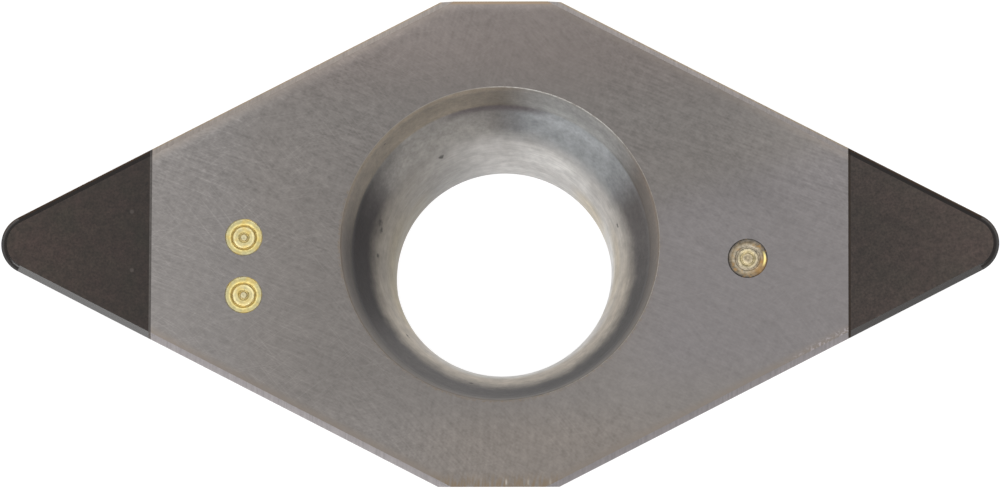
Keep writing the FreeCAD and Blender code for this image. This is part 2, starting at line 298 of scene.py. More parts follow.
def away_from(tree, place, spot):
    """How far each point is from this spot."""
    return add_node(tree, "ShaderNodeVectorMath", {0: place, 1: spot}, operation="DISTANCE").outputs["Value"]


def outward(tree, place):
    """The level direction from the hole's axis to each point, worked out once in each material."""
    if "outward" not in tree.nodes:
        flat = stretched(tree, place, (1.0, 1.0, 0.0))
        add_node(tree, "ShaderNodeVectorMath", {0: flat}, operation="NORMALIZE", name="outward")
    return tree.nodes["outward"].outputs[0]


def facing(tree, place, bearing, reach):
    """One on the side at this bearing about the hole, in degrees, and nothing beyond its reach."""
    angle = math.radians(bearing)
    aim = (math.cos(angle), math.sin(angle), 0.0)
    ways = {0: outward(tree, place), 1: aim}
    toward = add_node(tree, "ShaderNodeVectorMath", ways, operation="DOT_PRODUCT")
    return eased(tree, toward.outputs["Value"], math.cos(math.radians(reach)), 1.0)


def shaded(tree, colour, level):
    """The colour, lighter or darker by this factor."""
    shade = add_node(tree, "ShaderNodeCombineXYZ", {0: level, 1: level, 2: level})
    return blend_colours(tree, 1.0, colour, shade.outputs[0], "MULTIPLY")


def blend_colours(tree, share, first, second, way="MIX"):
    """The first colour, and the second in the given share."""
    node = add_node(tree, "ShaderNodeMix", {0: share, 6: first, 7: second}, data_type="RGBA", blend_type=way)
    return node.outputs[2]


def new_finish(name, roughness, metallic):
    """A material with its shader, and the piece's coordinates in millimetres."""
    material = bpy.data.materials.new(name)
    material.use_nodes = True
    tree = material.node_tree
    shader = tree.nodes["Principled BSDF"]
    shader.inputs["Metallic"].default_value = metallic
    shader.inputs["Roughness"].default_value = roughness
    return material, tree, shader, in_millimetres(tree)


def roughen(tree, shader, height, depth_mm, strength):
    """Gives the shader small hills of this height."""
    bump = add_node(
        tree,
        "ShaderNodeBump",
        {"Height": height, "Distance": depth_mm / MM_PER_M, "Strength": strength},
    )
    tree.links.new(bump.outputs[0], shader.inputs["Normal"])


class Patch:
    """Where a stain, tint or light lies, and how much of it. The side is a bearing and a reach
    about the hole in degrees. A range is an axis, where the patch starts and where it is full."""

    def __init__(self, amount, side, *ranges):
        self.amount = amount
        self.side = side
        self.ranges = ranges

    def cover(self, tree, place):
        """One in the patch, nothing outside it, and soft between."""
        covers = [facing(tree, place, *self.side)] if self.side else []
        for axis, start, full in self.ranges:
            covers.append(eased(tree, axes(tree, place)[axis], start, full))
        cover = covers[0]
        for other in covers[1:]:
            cover = times(tree, cover, other)
        return cover

    def shown(self, tree, place):
        """The patch's amount where it lies."""
        return times(tree, self.cover(tree, place), self.amount)


def summed(tree, place, start, patches):
    """The start, with each patch's amount added to it."""
    for patch in patches:
        start = plus(tree, start, patch.shown(tree, place))
    return start


def strongest(tree, place, patches):
    """The amount of the patch that shows most."""
    most = patches[0].shown(tree, place)
    for patch in patches[1:]:
        most = larger(tree, most, patch.shown(tree, place))
    return most


def toned(tree, place, colour, patches):
    """The colour, lighter or darker by each patch's amount."""
    for patch in patches:
        level = spread(tree, patch.cover(tree, place), 0.0, 1.0, 1.0, patch.amount)
        colour = shaded(tree, colour, level)
    return colour


def tinted(tree, place, colour, tints):
    """The colour, with each tint over it as far as its patch shows."""
    for patch, tint in tints:
        colour = blend_colours(tree, patch.shown(tree, place), colour, tint)
    return colour


THROAT_TINTS = ((Patch(1.0, (75.0, 95.0)), THROAT_COLOUR),)
THROAT_RUST = (
    Patch(1.0, (184.0, 42.0), ("Z", 1.15, 0.70)),
    Patch(0.6, (160.0, 34.0), ("Z", 0.85, 0.55)),
    Patch(0.6, (30.0, 24.0), ("Z", 0.85, 0.55)),
)
# Painted shade on the throat at the left.
THROAT_PAINTED_SHADE = (Patch(0.46, (155.0, 65.0)),)
# Painted light and shade on the throat at the back left: darker low down, lighter higher up.
THROAT_PAINTED_LIGHT_SIDE = (135.0, 50.0)
THROAT_PAINTED_CLIMB = (0.55, 1.2, -0.07, 0.22)
# Painted highlights on the throat at the back right, the right and the front.
THROAT_PAINTED_HIGHLIGHT_PATCHES = (
    Patch(0.75, (62.0, 26.0), ("Z", 0.55, 0.95), ("Z", 1.32, 1.08)),
    Patch(1.0, (358.0, 34.0), ("Z", 0.99, 0.76)),
    Patch(0.9, (290.0, 75.0), ("Z", 1.20, 0.97)),
)
RIGHT_RUST = ((Patch(0.4, (356.0, 28.0), ("Z", 0.66, 0.86), ("Z", 1.15, 0.98)), THROAT_RUSTY),)
DRAWN_UP = (0.8, 0.8, 7.0)
# Painted light on the cone behind, weaker toward its top.
CONE_PAINTED_LIGHT_SIDE = (119.0, 40.0)
CONE_PAINTED_LIGHT_FADE = (1.5, 1.85, 1.0, 0.75)
# Painted light and shade on the cone: near-black painted shade at the left, a painted bluish highlight at the
# back right, and a painted dark band in the crease under the lead-in.
CONE_PAINTED_TINTS = (
    (Patch(1.0, (185.0, 40.0)), CONE_PAINTED_SHADE),
    (Patch(1.0, (57.0, 38.0)), CONE_PAINTED_HIGHLIGHT),
    (Patch(1.0, (93.0, 26.0), ("Z", 1.72, 1.86)), CONE_PAINTED_CREASE_SHADE),
)
# The sides in front and at the left where shade is painted on the cone and the lead-in.
PAINTED_SHADE_FRONT = (312.0, 60.0)
PAINTED_SHADE_LEFT = (186.0, 34.0)
# Painted light on the cone's upper back right and at the right, painted shade in front and high at the back
# left.
CONE_PAINTED_TONES = (
    Patch(1.28, (60.0, 24.0), ("Z", 1.62, 1.75), ("Z", 1.90, 1.76)),
    Patch(0.58, PAINTED_SHADE_FRONT),
    Patch(1.12, (5.0, 40.0)),
    Patch(0.70, (152.0, 24.0), ("Z", 1.66, 1.82)),
)
# Painted shade at the lead-in's foot, lifting toward its head.
LEAD_IN_PAINTED_SHADE_FADE = (1.88, 2.25, 0.6, 1.0)
# Painted shade on the lead-in in front and at the left, painted light at the right.
LEAD_IN_PAINTED_TONES = (
    Patch(0.75, PAINTED_SHADE_FRONT),
    Patch(0.87, PAINTED_SHADE_FRONT, ("Z", 2.2, 2.0)),
    Patch(0.78, PAINTED_SHADE_LEFT, ("Z", 2.32, 2.02)),
    Patch(1.2, (8.0, 60.0)),
    Patch(1.2, (348.0, 50.0)),
)
LEAD_IN_TINTS = ((Patch(1.0, (127.0, 55.0)), LEAD_IN_BROWN),)
# Painted light along the lead-in's head, below the rim.
LEAD_IN_PAINTED_HEAD_LIGHT = (2.26, 2.36, 1.0, 1.6)
# A painted bluish highlight on the lead-in at the back right.
LEAD_IN_PAINTED_HIGHLIGHTS = ((Patch(0.66, (58.0, 34.0)), LEAD_IN_PAINTED_HIGHLIGHT),)
# Painted light at the lead-in's foot at the back.
LEAD_IN_PAINTED_FOOT_LIGHT = (
    Patch(1.28, (118.0, 28.0), ("Z", 2.12, 1.94)),
    Patch(1.28, (60.0, 24.0), ("Z", 2.12, 1.94)),
)
LEAD_IN_START = (1.84, 1.90)
LEAD_IN_MATT = (
    Patch(1.0, PAINTED_SHADE_FRONT, ("Z", 2.2, 2.0), ("Z", *LEAD_IN_START)),
    Patch(1.0, PAINTED_SHADE_LEFT, ("Z", 2.32, 2.02), ("Z", *LEAD_IN_START)),
)
MATT_SPECULAR = 0.22
PLAIN_SPECULAR = 0.5
CONE_START = (1.15, 1.52)
CONE_START_SHIFTS = (
    Patch(-0.145, (305.0, 80.0)),
    Patch(-0.035, (200.0, 45.0)),
    Patch(0.05, (45.0, 30.0)),
)
# A painted glint on the rim at the back right and the front right.
RIM_PAINTED_GLINT_SIDES = (Patch(1.0, (62.0, 42.0)), Patch(0.5, (335.0, 65.0)))
# Each noise is its cell in millimetres, its detail, its seed, and its lowest and highest value.
# Each bump is its depth in millimetres and its strength.
THROAT_STREAKS = (0.24, 4.0, 27.0, 0.86, 1.12)
SKIN_RAGGED = (0.28, 2.0, 3.0, -0.04, 0.04)
SKIN_MOTTLES = (0.16, 5.0, 13.0, 0.80, 1.20)
SKIN_FINE = (0.045, 3.0, 21.0, -0.15, 0.15)
SKIN_FINE_START = (1.2, 1.5)
SKIN_GRAIN = (0.05, 3.0, 1.0)
SKIN_BUMP = (0.002, 0.6)
RIM_GLINT_SPECKLES = (0.05, 2.0, 5.0)
PIT_RAGGED = (0.04, 2.0, 17.0, -0.02, 0.02)
PIT_CORE = 0.4
PIT_SHARE = 0.75


def throat_skin(tree, place, height):
    """The throat and the round: warm grey, rusty low down, with painted shade at the left and painted
    highlights at the back, right and front.
    """
    colour = tinted(tree, place, THROAT_WARM, THROAT_TINTS)
    colour = blend_colours(tree, strongest(tree, place, THROAT_RUST), colour, THROAT_RUSTY)
    colour = toned(tree, place, colour, THROAT_PAINTED_SHADE)
    climb = times(tree, facing(tree, place, *THROAT_PAINTED_LIGHT_SIDE), spread(tree, height, *THROAT_PAINTED_CLIMB))
    colour = shaded(tree, colour, plus(tree, climb, 1.0))
    colour = blend_colours(tree, strongest(tree, place, THROAT_PAINTED_HIGHLIGHT_PATCHES), colour, THROAT_PAINTED_HIGHLIGHT)
    colour = tinted(tree, place, colour, RIGHT_RUST)
    return shaded(tree, colour, clouds(tree, stretched(tree, place, DRAWN_UP), *THROAT_STREAKS))


def cone_skin(tree, place, height):
    """The cone: painted light behind, near-black painted shade at the left, a painted bluish highlight at the
    back right, painted shade in front.
    """
    grey = times(tree, facing(tree, place, *CONE_PAINTED_LIGHT_SIDE), spread(tree, height, *CONE_PAINTED_LIGHT_FADE))
    colour = blend_colours(tree, grey, CONE_COLOUR, CONE_PAINTED_LIGHT)
    return toned(tree, place, tinted(tree, place, colour, CONE_PAINTED_TINTS), CONE_PAINTED_TONES)


def lead_in_skin(tree, place, height):
    """The lead-in: painted shade, darkest at its foot and at the left, brown at the upper left, and painted
    light at its head.
    """
    colour = shaded(tree, LEAD_IN_COLOUR, spread(tree, height, *LEAD_IN_PAINTED_SHADE_FADE))
    colour = tinted(tree, place, toned(tree, place, colour, LEAD_IN_PAINTED_TONES), LEAD_IN_TINTS)
    colour = shaded(tree, colour, spread(tree, height, *LEAD_IN_PAINTED_HEAD_LIGHT))
    return toned(tree, place, tinted(tree, place, colour, LEAD_IN_PAINTED_HIGHLIGHTS), LEAD_IN_PAINTED_FOOT_LIGHT)


def sintered_finish():
    """The seat's skin: throat, cone and lead-in, with soft borders, mottles, pits and a painted broken glint
    on the rim.
    """
    material, tree, shader, place = new_finish("sintered_seat", SINTERED_ROUGHNESS, SINTERED_METALLIC)
    height = axes(tree, place)["Z"]
    border = plus(tree, height, clouds(tree, place, *SKIN_RAGGED))
    border = summed(tree, place, border, CONE_START_SHIFTS)
    throat = throat_skin(tree, place, height)
    cone = cone_skin(tree, place, height)
    lead_in = lead_in_skin(tree, place, height)
    colour = blend_colours(tree, eased(tree, border, *CONE_START), throat, cone)
    colour = blend_colours(tree, eased(tree, height, *LEAD_IN_START), colour, lead_in)
    colour = shaded(tree, colour, clouds(tree, place, *SKIN_MOTTLES))
    fine = times(tree, clouds(tree, place, *SKIN_FINE), eased(tree, height, *SKIN_FINE_START))
    colour = shaded(tree, colour, plus(tree, fine, 1.0))
    for bearing, pit_height, radius in PIT_PLACES:
        colour = blend_colours(tree, pit(tree, place, bearing, pit_height, radius), colour, PIT_COLOUR)
    # The rim's painted glint, broken into specks.
    glint_specks = times(tree, summed(tree, place, 0.0, RIM_PAINTED_GLINT_SIDES), clouds(tree, place, *RIM_GLINT_SPECKLES))
    rim = blend_colours(tree, glint_specks, RIM_COLOUR, RIM_PAINTED_GLINT)
    on_rim = spread(tree, height, THICKNESS - RIM_SKIN * RIM_ROUND, THICKNESS)
    colour = blend_colours(tree, on_rim, colour, rim)
    tree.links.new(colour, shader.inputs["Base Color"])
    matt = strongest(tree, place, LEAD_IN_MATT)
    gloss = spread(tree, matt, 0.0, 1.0, PLAIN_SPECULAR, MATT_SPECULAR)
    tree.links.new(gloss, shader.inputs["Specular IOR Level"])
    roughen(tree, shader, clouds(tree, place, *SKIN_GRAIN), *SKIN_BUMP)
    return material


def pit(tree, place, bearing, height_mm, radius):
    """A small dark pit at this bearing in degrees and this height on the seat's wall."""
    reach = next(r for r, z in seat_profile() if z >= height_mm)
    angle = math.radians(bearing)
    spot = (reach * math.cos(angle), reach * math.sin(angle), height_mm)
    ragged = plus(tree, away_from(tree, place, spot), clouds(tree, place, *PIT_RAGGED))
    return spread(tree, ragged, radius, PIT_CORE * radius, 0.0, PIT_SHARE)


sintered_seat = sintered_finish()
profile_points = [(reach, 0.0, height) for reach, height in seat_profile()]
profile = bpy.data.meshes.new("seat_profile")
profile.from_pydata(profile_points, [(i, i + 1) for i in range(len(profile_points) - 1)], [])
seat_wall = grown_mesh(
    "screw_seat", profile, turning_tree(), {"Spokes": SEAT_SPOKES, "Finish": sintered_seat}
)

# The index marks: three shallow ringed recesses that the press punches into the top of the
# body, two at the left and one at the right. Gold-coloured coating is left in them, bright
# in the left two and worn in the right one. Each is a disc with two round grooves.
MARK_DEPTH = 0.015
MARK_WALL = 0.008
RING_DEPTH = 0.015
RING_WIDTH = 0.03
MARK_SPOKES = 72
MARK_STEPS = 40
LEFT_MARK_REACH = -3.285
LEFT_MARK_HEIGHTS = (0.085, -0.669)
LEFT_MARK_RADIUS = 0.2415
LEFT_RING_RADII = (0.055, 0.152)
RIGHT_MARK_REACH = 3.181
RIGHT_MARK_HEIGHT = -0.201
RIGHT_MARK_RADIUS = 0.2565
RIGHT_RING_RADII = (0.083, 0.147)
# The left marks' colours by distance from the middle: the coating's gold, with painted shade in the grooves
# and at the recess wall, and a painted highlight ring inside the outer groove.
GOLD_RINGS = (
    (0.000, (0.45, 0.42, 0.235, 1.0)),
    (0.030, (0.62, 0.55, 0.34, 1.0)),
    (0.053, (0.50, 0.40, 0.18, 1.0)),
    (0.070, (0.66, 0.55, 0.24, 1.0)),
    (0.082, (0.60, 0.52, 0.26, 1.0)),
    (0.100, (0.53, 0.47, 0.255, 1.0)),
    (0.120, (0.75, 0.66, 0.355, 1.0)),
    (0.136, (0.90, 0.78, 0.42, 1.0)),
    (0.144, (0.54, 0.42, 0.17, 1.0)),
    (0.152, (0.30, 0.20, 0.06, 1.0)),
    (0.163, (0.76, 0.60, 0.22, 1.0)),
    (0.178, (0.80, 0.68, 0.30, 1.0)),
    (0.193, (0.53, 0.46, 0.215, 1.0)),
    (0.210, (0.49, 0.44, 0.215, 1.0)),
    (0.225, (0.55, 0.50, 0.29, 1.0)),
    (0.241, (0.24, 0.20, 0.12, 1.0)),
)
# The worn right mark's colours by distance from the middle, with painted shade at its recess wall.
WORN_RINGS = (
    (0.000, (0.51, 0.43, 0.28, 1.0)),
    (0.026, (0.28, 0.23, 0.15, 1.0)),
    (0.051, (0.46, 0.39, 0.26, 1.0)),
    (0.083, (0.60, 0.51, 0.30, 1.0)),
    (0.115, (0.50, 0.43, 0.28, 1.0)),
    (0.130, (0.54, 0.47, 0.34, 1.0)),
    (0.147, (0.44, 0.39, 0.30, 1.0)),
    (0.180, (0.35, 0.30, 0.22, 1.0)),
    (0.208, (0.20, 0.155, 0.095, 1.0)),
    (0.225, (0.19, 0.16, 0.12, 1.0)),
    (0.252, (0.055, 0.050, 0.046, 1.0)),
)
DEEP_GOLD = (0.62, 0.43, 0.09, 1.0)
ORANGE_STAIN = (0.36, 0.20, 0.06, 1.0)
STAIN_PLACE = (3.32, -0.30, 2.37)
# A painted glint on the worn mark's right edge.
GLINT = (0.95, 0.80, 0.30, 1.0)
GLINT_PLACE = (3.403, -0.205, 2.37)
GLINT_REACH = (0.11, 0.04)
GLINT_INNER = (0.200, 0.216)
GLINT_OUTER = (0.240, 0.228)
GOLD_ROUGHNESS = 0.42
GOLD_METALLIC = 0.7
GOLD_TONE = (0.74, 1.22)
WORN_TONE = (0.38, 1.62)
WORN_RIM_START = (0.12, 0.18)
STAIN_REACH = (0.17, 0.06)
RING_WAVER = (0.09, 2.0, 8.0, -0.006, 0.006)
GOLD_PATCHES = (0.045, 4.0, 4.0)
DEEP_GOLD_PATCHES = (0.11, 1.0, 31.0)
DEEP_GOLD_SHOWN = (0.5, 0.9, 0.0, 0.5)
STAIN_PATCHES = (0.07, 2.0, 14.0, 0.3, 1.0)
STAIN_SPOTS = (0.05, 1.0, 19.0)
STAIN_SPOTS_SHOWN = (0.6, 0.85, 0.0, 0.55)
GOLD_GRAIN = (0.02, 2.0, 6.0)
GOLD_BUMP = (0.001, 0.5)


def ring_groove(tree, reach, radius):
    """How far down a round groove is at this distance from the mark's middle."""
    off = maths(tree, "DIVIDE", maths(tree, "SUBTRACT", reach, radius), RING_WIDTH / 2)
    hollow = maths(tree, "SUBTRACT", 1.0, times(tree, off, off))
    return times(tree, larger(tree, hollow, 0.0), RING_DEPTH)


def named_number(tree, name):
    """A number that the mesh carries under this name."""
    return add_node(
        tree, "GeometryNodeInputNamedAttribute", {"Name": name}, data_type="FLOAT"
    ).outputs[0]


def marks_tree():
    """Sets a ringed disc on each point of the mesh. The point gives its rim's and rings' radii."""
    tree = new_tree(
        "index_marks",
        {"Steps": "NodeSocketInt", "Spokes": "NodeSocketInt", "Depth": "NodeSocketFloat",
         "Finish": "NodeSocketMaterial"},
    )
    given = tree.nodes.new("NodeGroupInput")
    rows = plus(tree, given.outputs["Steps"], 1.0)
    grid, row, cosine, sine = polar_grid(tree, rows, given.outputs["Spokes"])
    share = maths(tree, "DIVIDE", row, given.outputs["Steps"])
    around = {"X": times(tree, share, cosine), "Y": times(tree, share, sine)}
    flat_place = add_node(tree, "ShaderNodeCombineXYZ", around)
    noted = add_node(
        tree,
        "GeometryNodeStoreNamedAttribute",
        {"Geometry": grid, "Name": "rim_share", "Value": share},
        data_type="FLOAT",
        domain="POINT",
    )
    closed = closed_round(tree, noted.outputs[0], flat_place.outputs[0])
    rim = named_number(tree, "rim_radius")
    widths = add_node(tree, "ShaderNodeCombineXYZ", {"X": rim, "Y": rim, "Z": 1.0})
    placed = add_node(
        tree,
        "GeometryNodeInstanceOnPoints",
        {"Points": given.outputs["Geometry"], "Instance": closed, "Scale": widths.outputs[0]},
    )
    real = add_node(tree, "GeometryNodeRealizeInstances", {"Geometry": placed.outputs[0]})
    reach = times(tree, named_number(tree, "rim_share"), rim)
    from_wall = maths(tree, "DIVIDE", maths(tree, "SUBTRACT", rim, reach), MARK_WALL)
    floor_depth = times(tree, maths(tree, "MINIMUM", from_wall, 1.0), given.outputs["Depth"])
    outer_groove = ring_groove(tree, reach, named_number(tree, "outer_ring"))
    rings = plus(tree, outer_groove, ring_groove(tree, reach, named_number(tree, "inner_ring")))
    sunk = times(tree, plus(tree, floor_depth, rings), -1.0)
    drop = add_node(tree, "ShaderNodeCombineXYZ", {"Z": sunk})
    stamped = add_node(
        tree, "GeometryNodeSetPosition", {"Geometry": real.outputs[0], "Offset": drop.outputs[0]}
    )
    measured = add_node(
        tree,
        "GeometryNodeStoreNamedAttribute",
        {"Geometry": stamped.outputs[0], "Name": "ring_reach", "Value": reach},
        data_type="FLOAT",
        domain="POINT",
    )
    return end_tree(tree, measured.outputs[0], given.outputs["Finish"])


def noted_value(tree, name):
    """A number stored on the mesh under this name."""
    return add_node(tree, "ShaderNodeAttribute", {}, attribute_name=name).outputs["Fac"]


def ringed(tree, reach, rings):
    """Colours that follow each other outward, each named with its distance from the middle."""
    ramp = add_node(tree, "ShaderNodeValToRGB", {0: reach})
    stops = ramp.color_ramp.elements
    stops[1].position = rings[-1][0]
    stops[1].color = rings[-1][1]
    stops[0].position = rings[0][0]
    stops[0].color = rings[0][1]
    for position, colour in rings[1:-1]:
        stops.new(position).color = colour
    return ramp.outputs["Color"]


def gold_finish():
    """Coating left in the marks: gold rings, darker in the grooves with painted shade, worn grey at the right
    with a painted glint.
    """
    material, tree, shader, place = new_finish("gold_in_marks", GOLD_ROUGHNESS, GOLD_METALLIC)
    reach = noted_value(tree, "ring_reach")
    uneven = plus(tree, reach, clouds(tree, place, *RING_WAVER))
    right = spread(tree, axes(tree, place)["X"], -1.0, 1.0)
    patches = clouds(tree, place, *GOLD_PATCHES)
    gold = shaded(tree, ringed(tree, uneven, GOLD_RINGS), spread(tree, patches, 0.0, 1.0, *GOLD_TONE))
    deep = spread(tree, clouds(tree, place, *DEEP_GOLD_PATCHES), *DEEP_GOLD_SHOWN)
    gold = blend_colours(tree, deep, gold, DEEP_GOLD)
    worn = shaded(tree, ringed(tree, uneven, WORN_RINGS), spread(tree, patches, 0.0, 1.0, *WORN_TONE))
    outer = eased(tree, reach, *WORN_RIM_START)
    stained = times(tree, outer, clouds(tree, place, *STAIN_PATCHES))
    stained = times(tree, stained, spread(tree, away_from(tree, place, STAIN_PLACE), *STAIN_REACH))
    spots = times(tree, outer, spread(tree, clouds(tree, place, *STAIN_SPOTS), *STAIN_SPOTS_SHOWN))
    worn = blend_colours(tree, larger(tree, stained, spots), worn, ORANGE_STAIN)
    ring = times(tree, eased(tree, reach, *GLINT_INNER), eased(tree, reach, *GLINT_OUTER))
    glint = times(tree, ring, spread(tree, away_from(tree, place, GLINT_PLACE), *GLINT_REACH))
    worn = blend_colours(tree, glint, worn, GLINT)
    tree.links.new(blend_colours(tree, right, gold, worn), shader.inputs["Base Color"])
    roughen(tree, shader, clouds(tree, place, *GOLD_GRAIN), *GOLD_BUMP)
    return material


gold_in_marks = gold_finish()
mark_places = [(LEFT_MARK_REACH, height, THICKNESS) for height in LEFT_MARK_HEIGHTS]
mark_places.append((RIGHT_MARK_REACH, RIGHT_MARK_HEIGHT, THICKNESS))
mark_points = bpy.data.meshes.new("mark_points")
mark_points.from_pydata(mark_places, [], [])
MARK_RADII = {
    "rim_radius": [LEFT_MARK_RADIUS, LEFT_MARK_RADIUS, RIGHT_MARK_RADIUS],
    "inner_ring": [LEFT_RING_RADII[0], LEFT_RING_RADII[0], RIGHT_RING_RADII[0]],
    "outer_ring": [LEFT_RING_RADII[1], LEFT_RING_RADII[1], RIGHT_RING_RADII[1]],
}
for radius_name, radii in MARK_RADII.items():
    mark_points.attributes.new(radius_name, "FLOAT", "POINT").data.foreach_set("value", radii)
stamped_marks = grown_mesh(
    "index_marks",
    mark_points,
    marks_tree(),
    {"Steps": MARK_STEPS, "Spokes": MARK_SPOKES, "Depth": MARK_DEPTH, "Finish": gold_in_marks},
)

# The carbide body: one piece of cemented carbide, pressed, sintered and then ground all over.
# It is a 55 degree diamond with its blunt corners ground flat. Every side leans in by the
# clearance angle, a land runs along the long edges, and each sharp corner has a tip's pocket.
SIDE_REACH = 3.175
HALF_POINT = math.radians(27.5)
CLEARANCE = math.radians(11.0)
NOSE_RADIUS = 0.4
NOSE_STEPS = 48
LAND_WIDTH = 0.075
LAND_DROP = LAND_WIDTH * math.tan(math.radians(20.0))
FLAT_REACH = MM_PER_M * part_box("insert_body")[1].y
POCKET_REACH = MM_PER_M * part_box("braze_right")[0].x
POCKET_FLOOR = MM_PER_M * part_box("braze_right")[0].z
GROUND_GREY = (0.1715, 0.1587, 0.1502, 1.0)
GROUND_PINK = (0.1765, 0.1555, 0.146, 1.0)
GROUND_TAN = (0.1760, 0.1577, 0.1435, 1.0)
GROUND_PALE = (0.1705, 0.1597, 0.1535, 1.0)
GROUND_COOL = (0.1685, 0.1572, 0.1565, 1.0)
SIDE_LIGHT = (0.262, 0.240, 0.226, 1.0)
SIDE_DARK = (0.222, 0.202, 0.188, 1.0)
EDGE_WARM = (0.182, 0.158, 0.138, 1.0)
EDGE_BROWN = (0.20, 0.155, 0.11, 1.0)
EDGE_TAN = (0.325, 0.248, 0.175, 1.0)
CRUMB_LIGHT = (0.42, 0.385, 0.41, 1.0)
NICK_LIGHT = (0.55, 0.52, 0.48, 1.0)
NICK_PLACES = ((0.096, 0.5), (0.378, 0.28), (0.661, 0.22))
LAND_COLOUR = (0.33, 0.30, 0.29, 1.0)
LAND_COOL = (0.325, 0.300, 0.303, 1.0)
LAND_RUSTY = (0.36, 0.28, 0.19, 1.0)


class Level:
    """The ground outline at one height: how far the long sides, flats and noses stand out."""

    def __init__(self, height, side, flat, nose):
        self.height = height
        self.side = side
        self.flat = flat
        self.nose = nose

    def on_side(self, x):
        """The point of the upper right long side at this x."""
        y = (self.side - x * math.sin(HALF_POINT)) / math.cos(HALF_POINT)
        return Vector((x, y, self.height))

    def flat_corner(self):
        """Where the upper right long side meets the upper flat."""
        x = (self.side - self.flat * math.cos(HALF_POINT)) / math.sin(HALF_POINT)
        return Vector((x, self.flat, self.height))

    def nose_arc(self):
        """The right nose, from the lower long side round to the upper one."""
        centre = (self.side - self.nose) / math.sin(HALF_POINT)
        half_turn = math.pi / 2 - HALF_POINT
        points = []
        for i in range(NOSE_STEPS + 1):
            angle = half_turn * (2.0 * i / NOSE_STEPS - 1.0)
            x = centre + self.nose * math.cos(angle)
            points.append(Vector((x, self.nose * math.sin(angle), self.height)))
        return points


def ground_level(height):
    """The outline at a height below the lands, where every side leans by the clearance."""
    lean = (THICKNESS - height) * math.tan(CLEARANCE)
    return Level(height, SIDE_REACH - lean, FLAT_REACH - lean, max(0.0, NOSE_RADIUS - lean))


LAND_FOOT = ground_level(THICKNESS - LAND_DROP)
LAND_TOP = Level(THICKNESS, LAND_FOOT.side - LAND_WIDTH, FLAT_REACH, LAND_FOOT.nose - LAND_WIDTH)


def below(point):
    """The point opposite in Y, on the lower half of the outline."""
    return Vector((point.x, -point.y, point.z))


def mirrored(points, side):
    """The points themselves at the right, and their mirror image at the left."""
    if side > 0:
        return points
    return [Vector((-p.x, p.y, p.z)) for p in reversed(points)]


def body_ring(level, with_noses):
    """The body's outline at a level, with its noses or cut off at the pockets' back walls."""
    corner = level.flat_corner()
    seam = level.on_side(POCKET_REACH)
    nose = level.nose_arc() if with_noses else []
    right = [below(corner), below(seam), *nose, seam, corner]
    return right + mirrored(right, -1)


def add_ring(mesh, points):
    """Puts the points of a ring into the mesh."""
    return [mesh.verts.new(point) for point in points]


def join_rings(mesh, lower, upper, finish):
    """A wall between two closed rings, in one finish."""
    for i, corner in enumerate(lower):
        after = (i + 1) % len(lower)
        face = mesh.faces.new((corner, lower[after], upper[after], upper[i]))
        face.material_index = finish


def rings_around(mesh, height):
    """The open edges that lie at this height."""
    return [
        edge
        for edge in mesh.edges
        if edge.is_boundary and all(abs(v.co.z - height) < WELD_DISTANCE for v in edge.verts)
    ]


def fill_flat(mesh, height, finish):
    """Closes the mesh at this height with one flat face, open where the rings inside are."""
    filled = bmesh.ops.triangle_fill(
        mesh, use_beauty=True, edges=rings_around(mesh, height), normal=(0.0, 0.0, 1.0)
    )
    for item in filled["geom"]:
        if isinstance(item, bmesh.types.BMFace):
            item.material_index = finish


NEARLY_LEVEL = 0.99
NOSE_TURN_MARGIN = 0.01
NOSE_SEAM_MARGIN = 0.1


def round_off(mesh, finishes):
    """Smooth shading on the faces of these finishes, and on the noses."""
    for face in mesh.faces:
        face.smooth = face.material_index in finishes or on_nose(face)


def on_nose(face):
    """Whether the face is part of a nose's cone: its corners are not all on one long side."""
    middle = face.calc_center_median()
    if abs(face.normal.z) > NEARLY_LEVEL:
        return False
    heading = abs(math.atan2(face.normal.y, abs(face.normal.x)))
    turned_in = heading < math.pi / 2 - HALF_POINT - NOSE_TURN_MARGIN
    return turned_in and abs(middle.x) > POCKET_REACH + NOSE_SEAM_MARGIN


ROUNDING_ROOM = 0.9999997


def finished_piece(name, mesh, finishes, smooth=()):
    """Closes a mesh in millimetres and makes it an object in metres, a hair inside the solids' box."""
    bmesh.ops.remove_doubles(mesh, verts=mesh.verts, dist=WELD_DISTANCE)
    bmesh.ops.recalc_face_normals(mesh, faces=mesh.faces)
    round_off(mesh, smooth)
    bmesh.ops.transform(mesh, matrix=Matrix.Scale(ROUNDING_ROOM / MM_PER_M, 4), verts=mesh.verts)
    data = bpy.data.meshes.new(name)
    mesh.to_mesh(data)
    mesh.free()
    for finish in finishes:
        data.materials.append(finish)
    piece = bpy.data.objects.new(name, data)
    bpy.context.scene.collection.objects.link(piece)
    return piece


def strokes(tree, place, heading, width, length, seed):
    """Soft noise drawn out into straight fine strokes at this heading, in degrees."""
    angle = math.radians(heading)
    along = (math.cos(angle) / length, math.sin(angle) / length, 0.0)
    across = (-math.sin(angle) / width, math.cos(angle) / width, 0.0)
    down = add_node(tree, "ShaderNodeVectorMath", {0: place, 1: along}, operation="DOT_PRODUCT")
    over = add_node(tree, "ShaderNodeVectorMath", {0: place, 1: across}, operation="DOT_PRODUCT")
    drawn = add_node(
        tree,
        "ShaderNodeCombineXYZ",
        {"X": down.outputs["Value"], "Y": over.outputs["Value"], "Z": seed},
    )
    return add_node(
        tree,
        "ShaderNodeTexNoise",
        {"Vector": drawn.outputs[0], "Scale": 1.0, "Detail": 0.0},
    ).outputs["Fac"]


